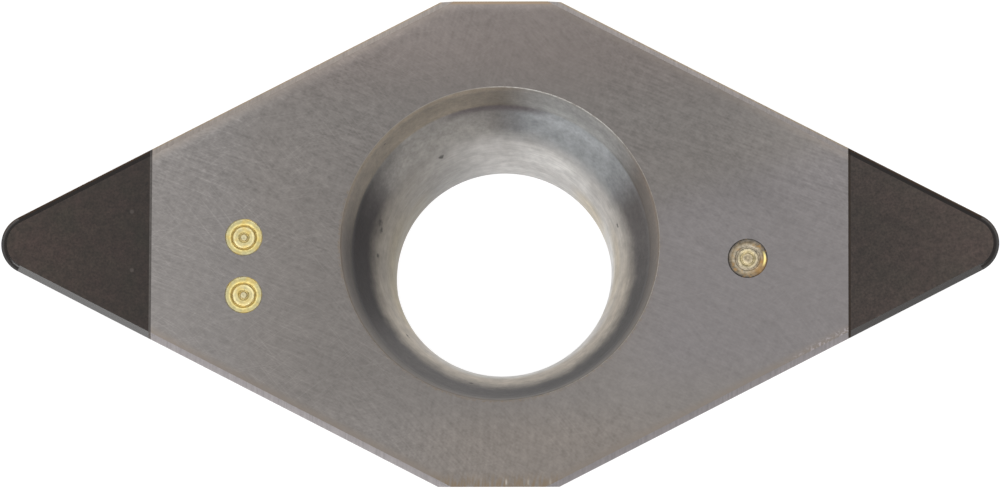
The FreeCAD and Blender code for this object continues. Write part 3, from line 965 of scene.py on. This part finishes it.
# Each pass of the wheel is its heading in degrees, the width and length of its strokes, and how
# strong it is at both ends and in the middle. A scratch has a heading, a width and a length.
WHEEL_PASSES = (
    (-18.0, 0.026, 1.3, 1.0, 0.55),
    (-27.0, 0.032, 1.0, 0.7, 0.40),
    (-50.0, 0.026, 0.9, 0.7, 0.80),
    (12.0, 0.030, 0.8, 0.4, 0.40),
    (72.0, 0.030, 0.7, 0.4, 0.70),
    (91.0, 0.050, 1.3, 0.0, 0.75),
)
WHEEL_MIDDLE = (2.0, 0.7)
WHEEL_STROKE = (0.3, 0.7, -0.55, 0.55)
BRIGHT_SCRATCHES = (
    (-22.0, 0.013, 1.6),
    (-31.0, 0.013, 1.2),
    (-52.0, 0.014, 1.0),
    (38.0, 0.014, 0.9),
    (8.0, 0.014, 1.0),
)
BRIGHT_SCRATCH = (0.60, 0.76, 0.0, 0.17)
SCRATCHES_AT_RIGHT = 0.35
WHEEL_FADE_CELL = 1.1
SCRATCH_FADE_CELL = 0.8
GROUND_LEFT = Patch(0.027, None, ("X", 0.5, -2.8))
GROUND_COARSE = 0.082
GROUND_COARSER = (
    Patch(0.055, None, ("X", 0.8, 1.8), ("Y", -0.5, 1.3)),
    Patch(0.055, None, ("X", -0.8, -1.8), ("Y", -0.5, 1.3)),
    GROUND_LEFT,
    Patch(0.045, None, ("Y", -1.7, -2.6)),
    Patch(0.020, None, ("Y", 2.5, 2.9)),
)
# Painted light on the ground top: broad lighter patches at the left, at the right seam and along both flats.
GROUND_PAINTED_LIGHT = (
    Patch(0.33, None, ("X", -1.6, -4.9)),
    Patch(0.18, None, ("X", 0.9, 2.4), ("Y", 0.95, 0.15)),
    Patch(0.24, None, ("X", 2.6, 4.2), ("Y", 0.2, 1.0)),
    Patch(0.03, None, ("X", 3.5, 4.4)),
    Patch(0.16, None, ("Y", -1.6, -2.75), ("X", 2.2, 0.6)),
    Patch(0.13, None, ("Y", 2.0, 3.1), ("X", 2.6, 0.2)),
    Patch(0.08, (120.0, 26.0), ("Y", 2.0, 2.7)),
    Patch(0.10, (304.0, 32.0), ("Y", -2.9, -2.0), ("X", 2.3, 1.6)),
)
GROUND_TINTS = (
    (Patch(1.0, None, ("Y", 1.6, 2.6)), GROUND_PINK),
    (Patch(1.0, (282.0, 45.0), ("Y", -1.9, -2.6)), GROUND_TAN),
    (Patch(1.0, None, ("X", -2.9, -3.6)), GROUND_PALE),
)
COOL_RIGHT = Patch(1.0, None, ("X", 1.0, 2.4), ("Y", -2.2, -1.3))
COOL_SLOPE = 0.3
COOL_START = (0.3, -0.4)
WARM_EDGE = (2.97, 3.10)
WARM_BY_HEIGHT = (1.0, -2.2, 0.5, 1.05)
# Painted highlights along the top's rims: the upper left long side, the upper right long side and the upper
# flat.
BACK_EDGE_PAINTED_HIGHLIGHT = Patch(0.30, (143.0, 62.0))
BACK_EDGE = (2.93, 3.10)
RIGHT_EDGE_PAINTED_HIGHLIGHT = Patch(0.14, None, ("X", 0.4, 1.6), ("Y", 0.1, 0.5))
RIGHT_EDGE = (2.98, 3.10)
TOP_EDGE_PAINTED_HIGHLIGHT = (Patch(0.32, None, ("Y", 3.02, 3.15)),)
TOP_EDGE_TINT = ((Patch(1.0, None, ("Y", 3.128, 3.152)), EDGE_TAN),)
CRUMBS = Patch(1.0, None, ("X", 3.5, 4.2), ("Y", -0.2, -0.7))
CRUMB_EDGE = (3.0, 3.07)
BURR = Patch(1.0, None, ("Y", -2.95, -3.19))
LIP_SIDES = (Patch(1.0, (290.0, 100.0)), Patch(1.0, (177.0, 32.0)))
LIP_REACH = (2.095, 2.06, 0.0, 0.7)
NICK_HALF_WIDTH = (0.020, 0.004)
NICK_SPAN = Patch(1.0, None, ("Y", -3.05, -3.11), ("Y", -3.17, -3.12))
GROUND_ROUGHNESS = 0.46
GROUND_GRAIN = (0.035, 1.0, 2.0, -0.5, 0.5)
GROUND_MOTTLES = (0.10, 1.0, 6.0, -0.65, 0.65)
GROUND_BUMP = (0.0006, 0.5)
WARM_FLECKS = (0.06, 2.0, 23.0, 0.6, 1.3)
CRUMB_FLECKS = (0.035, 1.0, 51.0)
CRUMBS_SHOWN = (0.5, 0.85, 0.0, 0.6)
BURR_STROKES = (85.0, 0.03, 0.15, 3.0)
BURR_SHOWN = (0.3, 0.65)
LIP_FLECKS = (0.03, 1.0, 33.0)
LIP_SHOWN = (0.4, 0.8)


def wheel_texture(tree, place, x):
    """How the wheel left the top: fine grain, crossing strokes and a few brighter scratches."""
    texture = plus(tree, clouds(tree, place, *GROUND_GRAIN), clouds(tree, place, *GROUND_MOTTLES))
    middle = eased(tree, maths(tree, "ABSOLUTE", x), *WHEEL_MIDDLE)
    for number, (heading, width, length, weight, middle_weight) in enumerate(WHEEL_PASSES):
        lines = strokes(tree, place, heading, width, length, 7.0 * number)
        here = clouds(tree, place, WHEEL_FADE_CELL, 1.0, 11.0 * number + 2.0, 0.1, 1.0)
        here = times(tree, here, spread(tree, middle, 0.0, 1.0, weight, middle_weight))
        texture = plus(tree, texture, times(tree, spread(tree, lines, *WHEEL_STROKE), here))
    texture = times(tree, texture, summed(tree, place, GROUND_COARSE, GROUND_COARSER))
    left = spread(tree, GROUND_LEFT.cover(tree, place), 0.0, 1.0, SCRATCHES_AT_RIGHT, 1.0)
    for number, (heading, width, length) in enumerate(BRIGHT_SCRATCHES):
        lines = strokes(tree, place, heading, width, length, 40.0 + 9.0 * number)
        here = times(tree, clouds(tree, place, SCRATCH_FADE_CELL, 1.0, 13.0 * number + 5.0), left)
        texture = plus(tree, texture, times(tree, spread(tree, lines, *BRIGHT_SCRATCH), here))
    return plus(tree, texture, 1.0)


def edge_colours(tree, place, x, y, colour):
    """The top's rims: warm along the long sides with painted highlights there and along the upper flat, brown
    at the lower flat and the seat.
    """
    out = times(tree, maths(tree, "ABSOLUTE", x), math.sin(HALF_POINT))
    out = plus(tree, out, times(tree, maths(tree, "ABSOLUTE", y), math.cos(HALF_POINT)))
    warm = times(tree, eased(tree, out, *WARM_EDGE), spread(tree, y, *WARM_BY_HEIGHT))
    warm = times(tree, warm, clouds(tree, place, *WARM_FLECKS))
    warm_colour = shaded(tree, EDGE_WARM, summed(tree, place, 1.0, GROUND_PAINTED_LIGHT))
    colour = blend_colours(tree, warm, colour, warm_colour)
    # Painted highlights along the rims.
    back_highlight = times(tree, eased(tree, out, *BACK_EDGE), BACK_EDGE_PAINTED_HIGHLIGHT.shown(tree, place))
    right_highlight = times(tree, eased(tree, out, *RIGHT_EDGE), RIGHT_EDGE_PAINTED_HIGHLIGHT.shown(tree, place))
    edge_highlight = summed(tree, place, larger(tree, back_highlight, right_highlight), TOP_EDGE_PAINTED_HIGHLIGHT)
    colour = shaded(tree, colour, plus(tree, edge_highlight, 1.0))
    colour = tinted(tree, place, colour, TOP_EDGE_TINT)
    crumbs = times(tree, CRUMBS.shown(tree, place), eased(tree, out, *CRUMB_EDGE))
    crumbs = times(tree, crumbs, spread(tree, clouds(tree, place, *CRUMB_FLECKS), *CRUMBS_SHOWN))
    colour = blend_colours(tree, crumbs, colour, CRUMB_LIGHT)
    burr = spread(tree, strokes(tree, place, *BURR_STROKES), *BURR_SHOWN)
    brown = times(tree, BURR.shown(tree, place), burr)
    flat = stretched(tree, place, (1.0, 1.0, 0.0))
    reach = add_node(tree, "ShaderNodeVectorMath", {0: flat}, operation="LENGTH").outputs["Value"]
    lip = times(tree, spread(tree, reach, *LIP_REACH), strongest(tree, place, LIP_SIDES))
    lip = times(tree, lip, spread(tree, clouds(tree, place, *LIP_FLECKS), *LIP_SHOWN))
    return blend_colours(tree, larger(tree, brown, lip), colour, EDGE_BROWN)


def ground_finish():
    """The ground top: the wheel's texture in faint tints, painted light near both seams and the flats, with
    its rims.
    """
    material, tree, shader, place = new_finish("ground_carbide", GROUND_ROUGHNESS, 1.0)
    x = axes(tree, place)["X"]
    y = axes(tree, place)["Y"]
    texture = wheel_texture(tree, place, x)
    fallen = maths(tree, "SUBTRACT", y, times(tree, x, COOL_SLOPE))
    cool = times(tree, COOL_RIGHT.shown(tree, place), eased(tree, fallen, *COOL_START))
    colour = tinted(tree, place, GROUND_GREY, GROUND_TINTS)
    colour = blend_colours(tree, cool, colour, GROUND_COOL)
    colour = shaded(tree, colour, times(tree, texture, summed(tree, place, 1.0, GROUND_PAINTED_LIGHT)))
    colour = edge_colours(tree, place, x, y, colour)
    for nick_x, share in NICK_PLACES:
        aside = maths(tree, "ABSOLUTE", maths(tree, "SUBTRACT", x, nick_x))
        nick = times(tree, spread(tree, aside, *NICK_HALF_WIDTH), NICK_SPAN.shown(tree, place))
        colour = blend_colours(tree, times(tree, nick, share), colour, NICK_LIGHT)
    tree.links.new(colour, shader.inputs["Base Color"])
    roughen(tree, shader, texture, *GROUND_BUMP)
    return material


LAND_ROUGHNESS = 0.6
LAND_METALLIC = 0.15
# Painted shade on the lands at the front right and painted light on those at the back.
LAND_PAINTED_SHADE = Patch(-0.26, (305.0, 60.0))
LAND_PAINTED_LIGHT = Patch(0.25, (90.0, 89.0))
LAND_BY_HEIGHT = (2.353, 2.38, 1.02, 0.91)
LAND_BRIM = (
    Patch(1.0, None, ("Z", 2.364, 2.354), ("Y", 0.0, 0.3)),
    Patch(0.25, (140.0, 60.0)),
)
LAND_TINTS = ((Patch(1.0, None, ("Y", 0.3, -0.3)), LAND_COOL),)
LAND_DRAWN = (1.0, 0.1, 0.1)
LAND_STREAKS = (0.028, 2.0, 9.0, 0.84, 1.16)
LAND_BUMP = (0.001, 0.4)
SIDE_ROUGHNESS = 0.42
SIDE_DRAWN = (0.35, 0.35, 14.0)
SIDE_LINES = (0.6, 3.0, 5.0)
SIDE_BUMP = (0.002, 0.5)


def land_finish():
    """The lands and the flats' edges: ground by another wheel, lighter, more matt and streaky, with painted
    light at the back and painted shade at the front right.
    """
    material, tree, shader, place = new_finish("ground_land", LAND_ROUGHNESS, LAND_METALLIC)
    height = axes(tree, place)["Z"]
    lightness = summed(tree, place, 1.0, (LAND_PAINTED_SHADE, LAND_PAINTED_LIGHT))
    lightness = times(tree, lightness, spread(tree, height, *LAND_BY_HEIGHT))
    streaks = clouds(tree, stretched(tree, place, LAND_DRAWN), *LAND_STREAKS)
    colour = tinted(tree, place, LAND_COLOUR, LAND_TINTS)
    colour = blend_colours(tree, strongest(tree, place, LAND_BRIM), colour, LAND_RUSTY)
    colour = shaded(tree, colour, times(tree, lightness, streaks))
    tree.links.new(colour, shader.inputs["Base Color"])
    roughen(tree, shader, streaks, *LAND_BUMP)
    return material


def side_finish():
    """The leaning sides: ground along their length, so fine lines run level round the body."""
    material, tree, shader, place = new_finish("ground_side", SIDE_ROUGHNESS, 1.0)
    lines = clouds(tree, stretched(tree, place, SIDE_DRAWN), *SIDE_LINES)
    tree.links.new(blend_colours(tree, lines, SIDE_DARK, SIDE_LIGHT), shader.inputs["Base Color"])
    roughen(tree, shader, lines, *SIDE_BUMP)
    return material


ground_top = ground_finish()
ground_land = land_finish()
ground_side = side_finish()
FACE, LAND, SIDE, SEAT, MARK = range(5)
BODY_FINISHES = (ground_top, ground_land, ground_side, sintered_seat, gold_in_marks)

body = bmesh.new()
body.from_mesh(seat_wall)
for face in body.faces:
    face.material_index = SEAT
seat_faces = len(body.faces)
body.from_mesh(stamped_marks)
body.faces.ensure_lookup_table()
for face in body.faces[seat_faces:]:
    face.material_index = MARK
floor_level = ground_level(POCKET_FLOOR)
nose_end = ground_level(THICKNESS - NOSE_RADIUS / math.tan(CLEARANCE))
lower_rings = [add_ring(body, body_ring(level, True)) for level in (ground_level(0.0), nose_end, floor_level)]
for lower, upper in zip(lower_rings, lower_rings[1:]):
    join_rings(body, lower, upper, SIDE)
right_nose = lower_rings[-1][1:NOSE_STEPS + 4]
left_nose = lower_rings[-1][NOSE_STEPS + 6:-1]
for pocket in (right_nose, left_nose):
    body.faces.new(pocket).material_index = SIDE
waist = [v for v in lower_rings[-1] if v not in right_nose[1:-1] and v not in left_nose[1:-1]]
foot = add_ring(body, body_ring(LAND_FOOT, False))
join_rings(body, waist, foot, SIDE)
head = add_ring(body, body_ring(LAND_TOP, False))
join_rings(body, foot, head, LAND)
bmesh.ops.remove_doubles(body, verts=body.verts, dist=WELD_DISTANCE)
fill_flat(body, THICKNESS, FACE)
fill_flat(body, 0.0, FACE)
carbide_body = finished_piece("carbide_body", body, BODY_FINISHES, (SEAT, MARK))
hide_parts("insert_body")
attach(carbide_body, "root")

# The cutting tips: one solid piece of cubic boron nitride compact in each sharp corner,
# brazed into its pocket and ground flush with the body. Its skin is dark and nearly smooth,
# and the land along its edge is polished, so that land shows the light or the dark around it.
TIP_REACH = MM_PER_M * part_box("cbn_tip_right")[0].x
TIP_UNDERSIDE = MM_PER_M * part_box("cbn_tip_right")[0].z
COMPACT_BROWN = (0.0395, 0.0236, 0.0200, 1.0)
COMPACT_GREY = (0.0272, 0.0220, 0.0155, 1.0)
COMPACT_PALE = (0.033, 0.0245, 0.0210, 1.0)
COMPACT_EDGE = (0.014, 0.0105, 0.009, 1.0)
COMPACT_RUSTY = (0.055, 0.026, 0.008, 1.0)
SPECK_COLOUR = (0.12, 0.10, 0.09, 1.0)
SPECK_PLACES = ((-4.727, 0.42, 2.38), (-4.72, -0.343, 2.38))
SPECK_REACH = (0.035, 0.015, 0.0, 0.4)
FACE_ROUGHNESS = 0.36
FACE_SPECULAR = 0.25
EDGE_ROUGHNESS = 0.2
EDGE_SPECULAR = 0.55
FACE_BY_REACH = (4.6, 6.1, 0.76, 1.28)
FACE_NOSE_LIGHT = (5.0, 6.2, 0.0, 0.22)
FACE_RIGHT_LIGHT = 0.25
FACE_RIGHT_PALE = 0.5
FACE_RIM_LIGHT = 0.16
FACE_RIM = (0.25, 0.8)
FACE_CLOUDS = (0.45, 3.0, 3.0)
FACE_GRAIN = (0.03, 3.0, 4.0, 0.56, 1.44)
FACE_MOTTLES = (0.12, 2.0, 15.0, 0.77, 1.23)
FACE_BUMP = (0.001, 0.3)
EDGE_GRAIN = (0.08, 2.0, 3.0, 0.8, 1.2)
EDGE_TINTS = ((Patch(1.0, None, ("Z", 2.366, 2.354), ("Y", 0.0, 0.3)), COMPACT_RUSTY),)


def compact_finish():
    """The compact's ground face: dark, mottled brown and grey, a little lighter to the nose."""
    material, tree, shader, place = new_finish("boron_nitride_face", FACE_ROUGHNESS, 0.0)
    shader.inputs["Specular IOR Level"].default_value = FACE_SPECULAR
    x = axes(tree, place)["X"]
    y = axes(tree, place)["Y"]
    right = spread(tree, x, -1.0, 1.0)
    colour = blend_colours(tree, clouds(tree, place, *FACE_CLOUDS), COMPACT_BROWN, COMPACT_GREY)
    colour = blend_colours(tree, times(tree, right, FACE_RIGHT_PALE), colour, COMPACT_PALE)
    lighter = spread(tree, maths(tree, "ABSOLUTE", x), *FACE_BY_REACH)
    lighter = plus(tree, lighter, times(tree, right, FACE_RIGHT_LIGHT))
    lighter = plus(tree, lighter, spread(tree, x, *FACE_NOSE_LIGHT))
    rim = times(tree, eased(tree, maths(tree, "ABSOLUTE", y), *FACE_RIM), right)
    lighter = plus(tree, lighter, times(tree, rim, FACE_RIM_LIGHT))
    grain = clouds(tree, place, *FACE_GRAIN)
    mottles = clouds(tree, place, *FACE_MOTTLES)
    colour = shaded(tree, colour, times(tree, times(tree, lighter, mottles), grain))
    for spot in SPECK_PLACES:
        speck = spread(tree, away_from(tree, place, spot), *SPECK_REACH)
        colour = blend_colours(tree, speck, colour, SPECK_COLOUR)
    tree.links.new(colour, shader.inputs["Base Color"])
    roughen(tree, shader, grain, *FACE_BUMP)
    return material


def compact_edge_finish():
    """The compact's polished land and sides, with a rusty lower brim along the upper land."""
    material, tree, shader, place = new_finish("boron_nitride_edge", EDGE_ROUGHNESS, 0.0)
    shader.inputs["Specular IOR Level"].default_value = EDGE_SPECULAR
    colour = tinted(tree, place, COMPACT_EDGE, EDGE_TINTS)
    colour = shaded(tree, colour, clouds(tree, place, *EDGE_GRAIN))
    tree.links.new(colour, shader.inputs["Base Color"])
    return material


def corner_ring(level, reach):
    """The right corner's outline at a level, from a back wall at this reach round the nose."""
    seam = level.on_side(reach)
    return [below(seam), *level.nose_arc(), seam]


def cutting_tip(name, side):
    """One tip: its underside, its leaning sides and back wall, its land and its top."""
    tip = bmesh.new()
    levels = (ground_level(TIP_UNDERSIDE), LAND_FOOT, LAND_TOP)
    rings = [add_ring(tip, mirrored(corner_ring(level, TIP_REACH), side)) for level in levels]
    join_rings(tip, rings[0], rings[1], 1)
    join_rings(tip, rings[1], rings[2], 1)
    tip.faces.new(reversed(rings[0])).material_index = 0
    tip.faces.new(rings[2]).material_index = 0
    piece = finished_piece(name, tip, (compact_face, compact_edge))
    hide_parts("cbn_tip_right" if side > 0 else "cbn_tip_left")
    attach(piece, "root")
    return piece


compact_face = compact_finish()
compact_edge = compact_edge_finish()
cutting_tip("compact_tip_right", 1)
cutting_tip("compact_tip_left", -1)

# The braze: a thin film of silver braze on the floor and the back wall of each pocket. It
# melts between tip and body and is ground with them, so only a fine line of it shows.
BRAZE_DARK = (0.032, 0.021, 0.014, 1.0)
BRAZE_SOFT = (0.115, 0.103, 0.096, 1.0)
BRAZE_ROUGHNESS = 0.5
BRAZE_METALLIC = 0.6
BRAZE_GRAIN = (0.04, 2.0, 3.0)
BRAZE_SHADE = 0.6


def braze_finish(name, colour_seen):
    """Oxidised braze in one tone, with its grain."""
    material, tree, shader, place = new_finish(name, BRAZE_ROUGHNESS, BRAZE_METALLIC)
    darker = tuple(BRAZE_SHADE * part for part in colour_seen[:3]) + (1.0,)
    colour = blend_colours(tree, clouds(tree, place, *BRAZE_GRAIN), darker, colour_seen)
    tree.links.new(colour, shader.inputs["Base Color"])
    return material


def braze_film(name, side, finish):
    """One film: a flat sheet under the tip and a wall behind it, up to the top face."""
    film = bmesh.new()
    low = ground_level(POCKET_FLOOR)
    high = ground_level(TIP_UNDERSIDE)
    sheets = []
    for level in (low, high):
        outline = corner_ring(level, TIP_REACH)
        back = level.on_side(POCKET_REACH)
        sheets.append(add_ring(film, mirrored([below(back), *outline, back], side)))
    join_rings(film, sheets[0], sheets[1], 0)
    film.faces.new(reversed(sheets[0]))
    film.faces.new(sheets[1][1:-1])
    wall = [sheets[1][0], sheets[1][1], sheets[1][-2], sheets[1][-1]]
    for level in (LAND_FOOT, LAND_TOP):
        front = level.on_side(TIP_REACH)
        back = level.on_side(POCKET_REACH)
        upper = add_ring(film, mirrored([below(back), below(front), front, back], side))
        join_rings(film, wall, upper, 0)
        wall = upper
    film.faces.new(wall)
    piece = finished_piece(name, film, (finish,))
    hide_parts("braze_right" if side > 0 else "braze_left")
    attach(piece, "root")
    return piece


braze_film("braze_film_right", 1, braze_finish("braze_dark", BRAZE_DARK))
braze_film("braze_film_left", -1, braze_finish("braze_soft", BRAZE_SOFT))

# The studio: a pale floor that stays white behind the insert and keeps its shadow, a soft
# lamp overhead, a brighter one in front that lights the lower lands, and a small one at the right.
FLOOR_DROP = 0.00001
FLOOR_HALF_WIDTH = 1.2
FLOOR_COLOUR = (0.80, 0.80, 0.80, 1.0)
FLOOR_GLOW = 0.93
FLOOR_SHADOW_SHARE = (0.2, 0.2, 0.2, 1.0)
SKY_DARK = 0.40
SKY_WHITE = (1.0, 1.0, 1.0, 1.0)
SKY_HORIZON = 0.1
SKY_TOP = 0.4
# Each lamp is its name, its place, its width and height in metres, and its brightness.
LAMPS = (
    ("overhead_lamp", (-0.01, 0.045, 0.26), 0.17, 0.17, 1.5),
    ("front_lamp", (-0.033, -0.071, 0.116), 0.13, 0.05, 4.0),
    ("right_lamp", (0.045, -0.064, 0.139), 0.05, 0.05, 1.6),
)


def floor_finish():
    """Plain pale floor. To the eye, and in metal, it is white with a faint shadow, clear from below."""
    material = bpy.data.materials.new("pale_floor")
    material.use_nodes = True
    tree = material.node_tree
    tree.nodes.clear()
    path = tree.nodes.new("ShaderNodeLightPath")
    seen = larger(tree, path.outputs["Is Camera Ray"], path.outputs["Is Glossy Ray"])
    seen = larger(tree, seen, path.outputs["Is Transmission Ray"])
    plain = add_node(tree, "ShaderNodeBsdfDiffuse", {"Color": FLOOR_COLOUR})
    faint = add_node(tree, "ShaderNodeBsdfDiffuse", {"Color": FLOOR_SHADOW_SHARE})
    glow = add_node(tree, "ShaderNodeEmission", {"Strength": FLOOR_GLOW})
    white = add_node(tree, "ShaderNodeAddShader", {0: faint.outputs[0], 1: glow.outputs[0]})
    mixed = add_node(tree, "ShaderNodeMixShader", {0: seen, 1: plain.outputs[0], 2: white.outputs[0]})
    beneath = tree.nodes.new("ShaderNodeNewGeometry").outputs["Backfacing"]
    clear = tree.nodes.new("ShaderNodeBsdfTransparent").outputs[0]
    mixed = add_node(tree, "ShaderNodeMixShader", {0: beneath, 1: mixed.outputs[0], 2: clear})
    leaving = tree.nodes.new("ShaderNodeOutputMaterial")
    tree.links.new(mixed.outputs[0], leaving.inputs["Surface"])
    return material


floor_mesh = bpy.data.meshes.new("floor")
corners = [(-1, -1), (1, -1), (1, 1), (-1, 1)]
floor_mesh.from_pydata(
    [(x * FLOOR_HALF_WIDTH, y * FLOOR_HALF_WIDTH, -FLOOR_DROP) for x, y in corners], [], [(0, 1, 2, 3)]
)
floor_mesh.materials.append(floor_finish())
floor = bpy.data.objects.new("floor", floor_mesh)
bpy.context.scene.collection.objects.link(floor)


def soft_lamp(name, place, width, height, brightness):
    """A soft panel lamp at this place, turned to the insert, as bright as white times brightness."""
    data = bpy.data.lights.new(name, "AREA")
    data.shape = "RECTANGLE"
    data.size = width
    data.size_y = height
    data.energy = brightness * math.pi * width * height
    lamp = bpy.data.objects.new(name, data)
    lamp.location = place
    lamp.rotation_euler = Vector(place).to_track_quat("Z", "Y").to_euler()
    lamp.visible_camera = False
    bpy.context.scene.collection.objects.link(lamp)
    return lamp


for lamp_name, place, width, height, brightness in LAMPS:
    soft_lamp(lamp_name, place, width, height, brightness)

world = bpy.data.worlds.new("studio")
world.use_nodes = True
sky = world.node_tree
heading = sky.nodes.new("ShaderNodeTexCoord").outputs["Generated"]
upward = add_node(sky, "ShaderNodeSeparateXYZ", {0: heading}).outputs["Z"]
sky_level = spread(sky, upward, SKY_HORIZON, SKY_TOP, 1.0, SKY_DARK)
sky.nodes["Background"].inputs["Color"].default_value = SKY_WHITE
sky.links.new(sky_level, sky.nodes["Background"].inputs["Strength"])
bpy.context.scene.world = world

# The camera: a long lens above the front of the insert, tilted a little off the hole's axis.
# Its distance, tilt and roll are the ones at which the insert's own size fits the photograph.
PHOTO_WIDTH_PX = 1000.0
PHOTO_CENTRE_PX = (500.0, 244.5)
AXIS_AT_PX = (499.66, 243.25)
PX_PER_MM = 77.965
CAMERA_DISTANCE = 0.160
NEAREST_SEEN = 0.01
FURTHEST_SEEN = 3.0
SIDE_TILT = math.radians(-1.55)
FRONT_TILT = math.radians(11.27)
ROLL = math.radians(0.223)

camera_data = bpy.data.cameras.new("camera")
camera_data.sensor_fit = "HORIZONTAL"
camera_data.lens = PX_PER_MM * CAMERA_DISTANCE * MM_PER_M * camera_data.sensor_width / PHOTO_WIDTH_PX
camera = bpy.data.objects.new("camera", camera_data)
back = Vector(
    (
        -math.sin(SIDE_TILT),
        -math.sin(FRONT_TILT) * math.cos(SIDE_TILT),
        math.cos(FRONT_TILT) * math.cos(SIDE_TILT),
    )
)
level_right = Vector((0.0, 1.0, 0.0)).cross(back).normalized()
level_up = back.cross(level_right)
right = math.cos(ROLL) * level_right + math.sin(ROLL) * level_up
up = math.cos(ROLL) * level_up - math.sin(ROLL) * level_right
aim = Vector((0.0, 0.0, THICKNESS / MM_PER_M))
aim += right * (PHOTO_CENTRE_PX[0] - AXIS_AT_PX[0]) / PX_PER_MM / MM_PER_M
aim -= up * (PHOTO_CENTRE_PX[1] - AXIS_AT_PX[1]) / PX_PER_MM / MM_PER_M
turn = Matrix((right, up, back)).transposed()
camera.matrix_world = Matrix.Translation(aim + back * CAMERA_DISTANCE) @ turn.to_4x4()
camera_data.clip_start = NEAREST_SEEN
camera_data.clip_end = FURTHEST_SEEN
bpy.context.scene.collection.objects.link(camera)
bpy.context.scene.camera = camera
bpy.context.scene.view_settings.view_transform = "Standard"
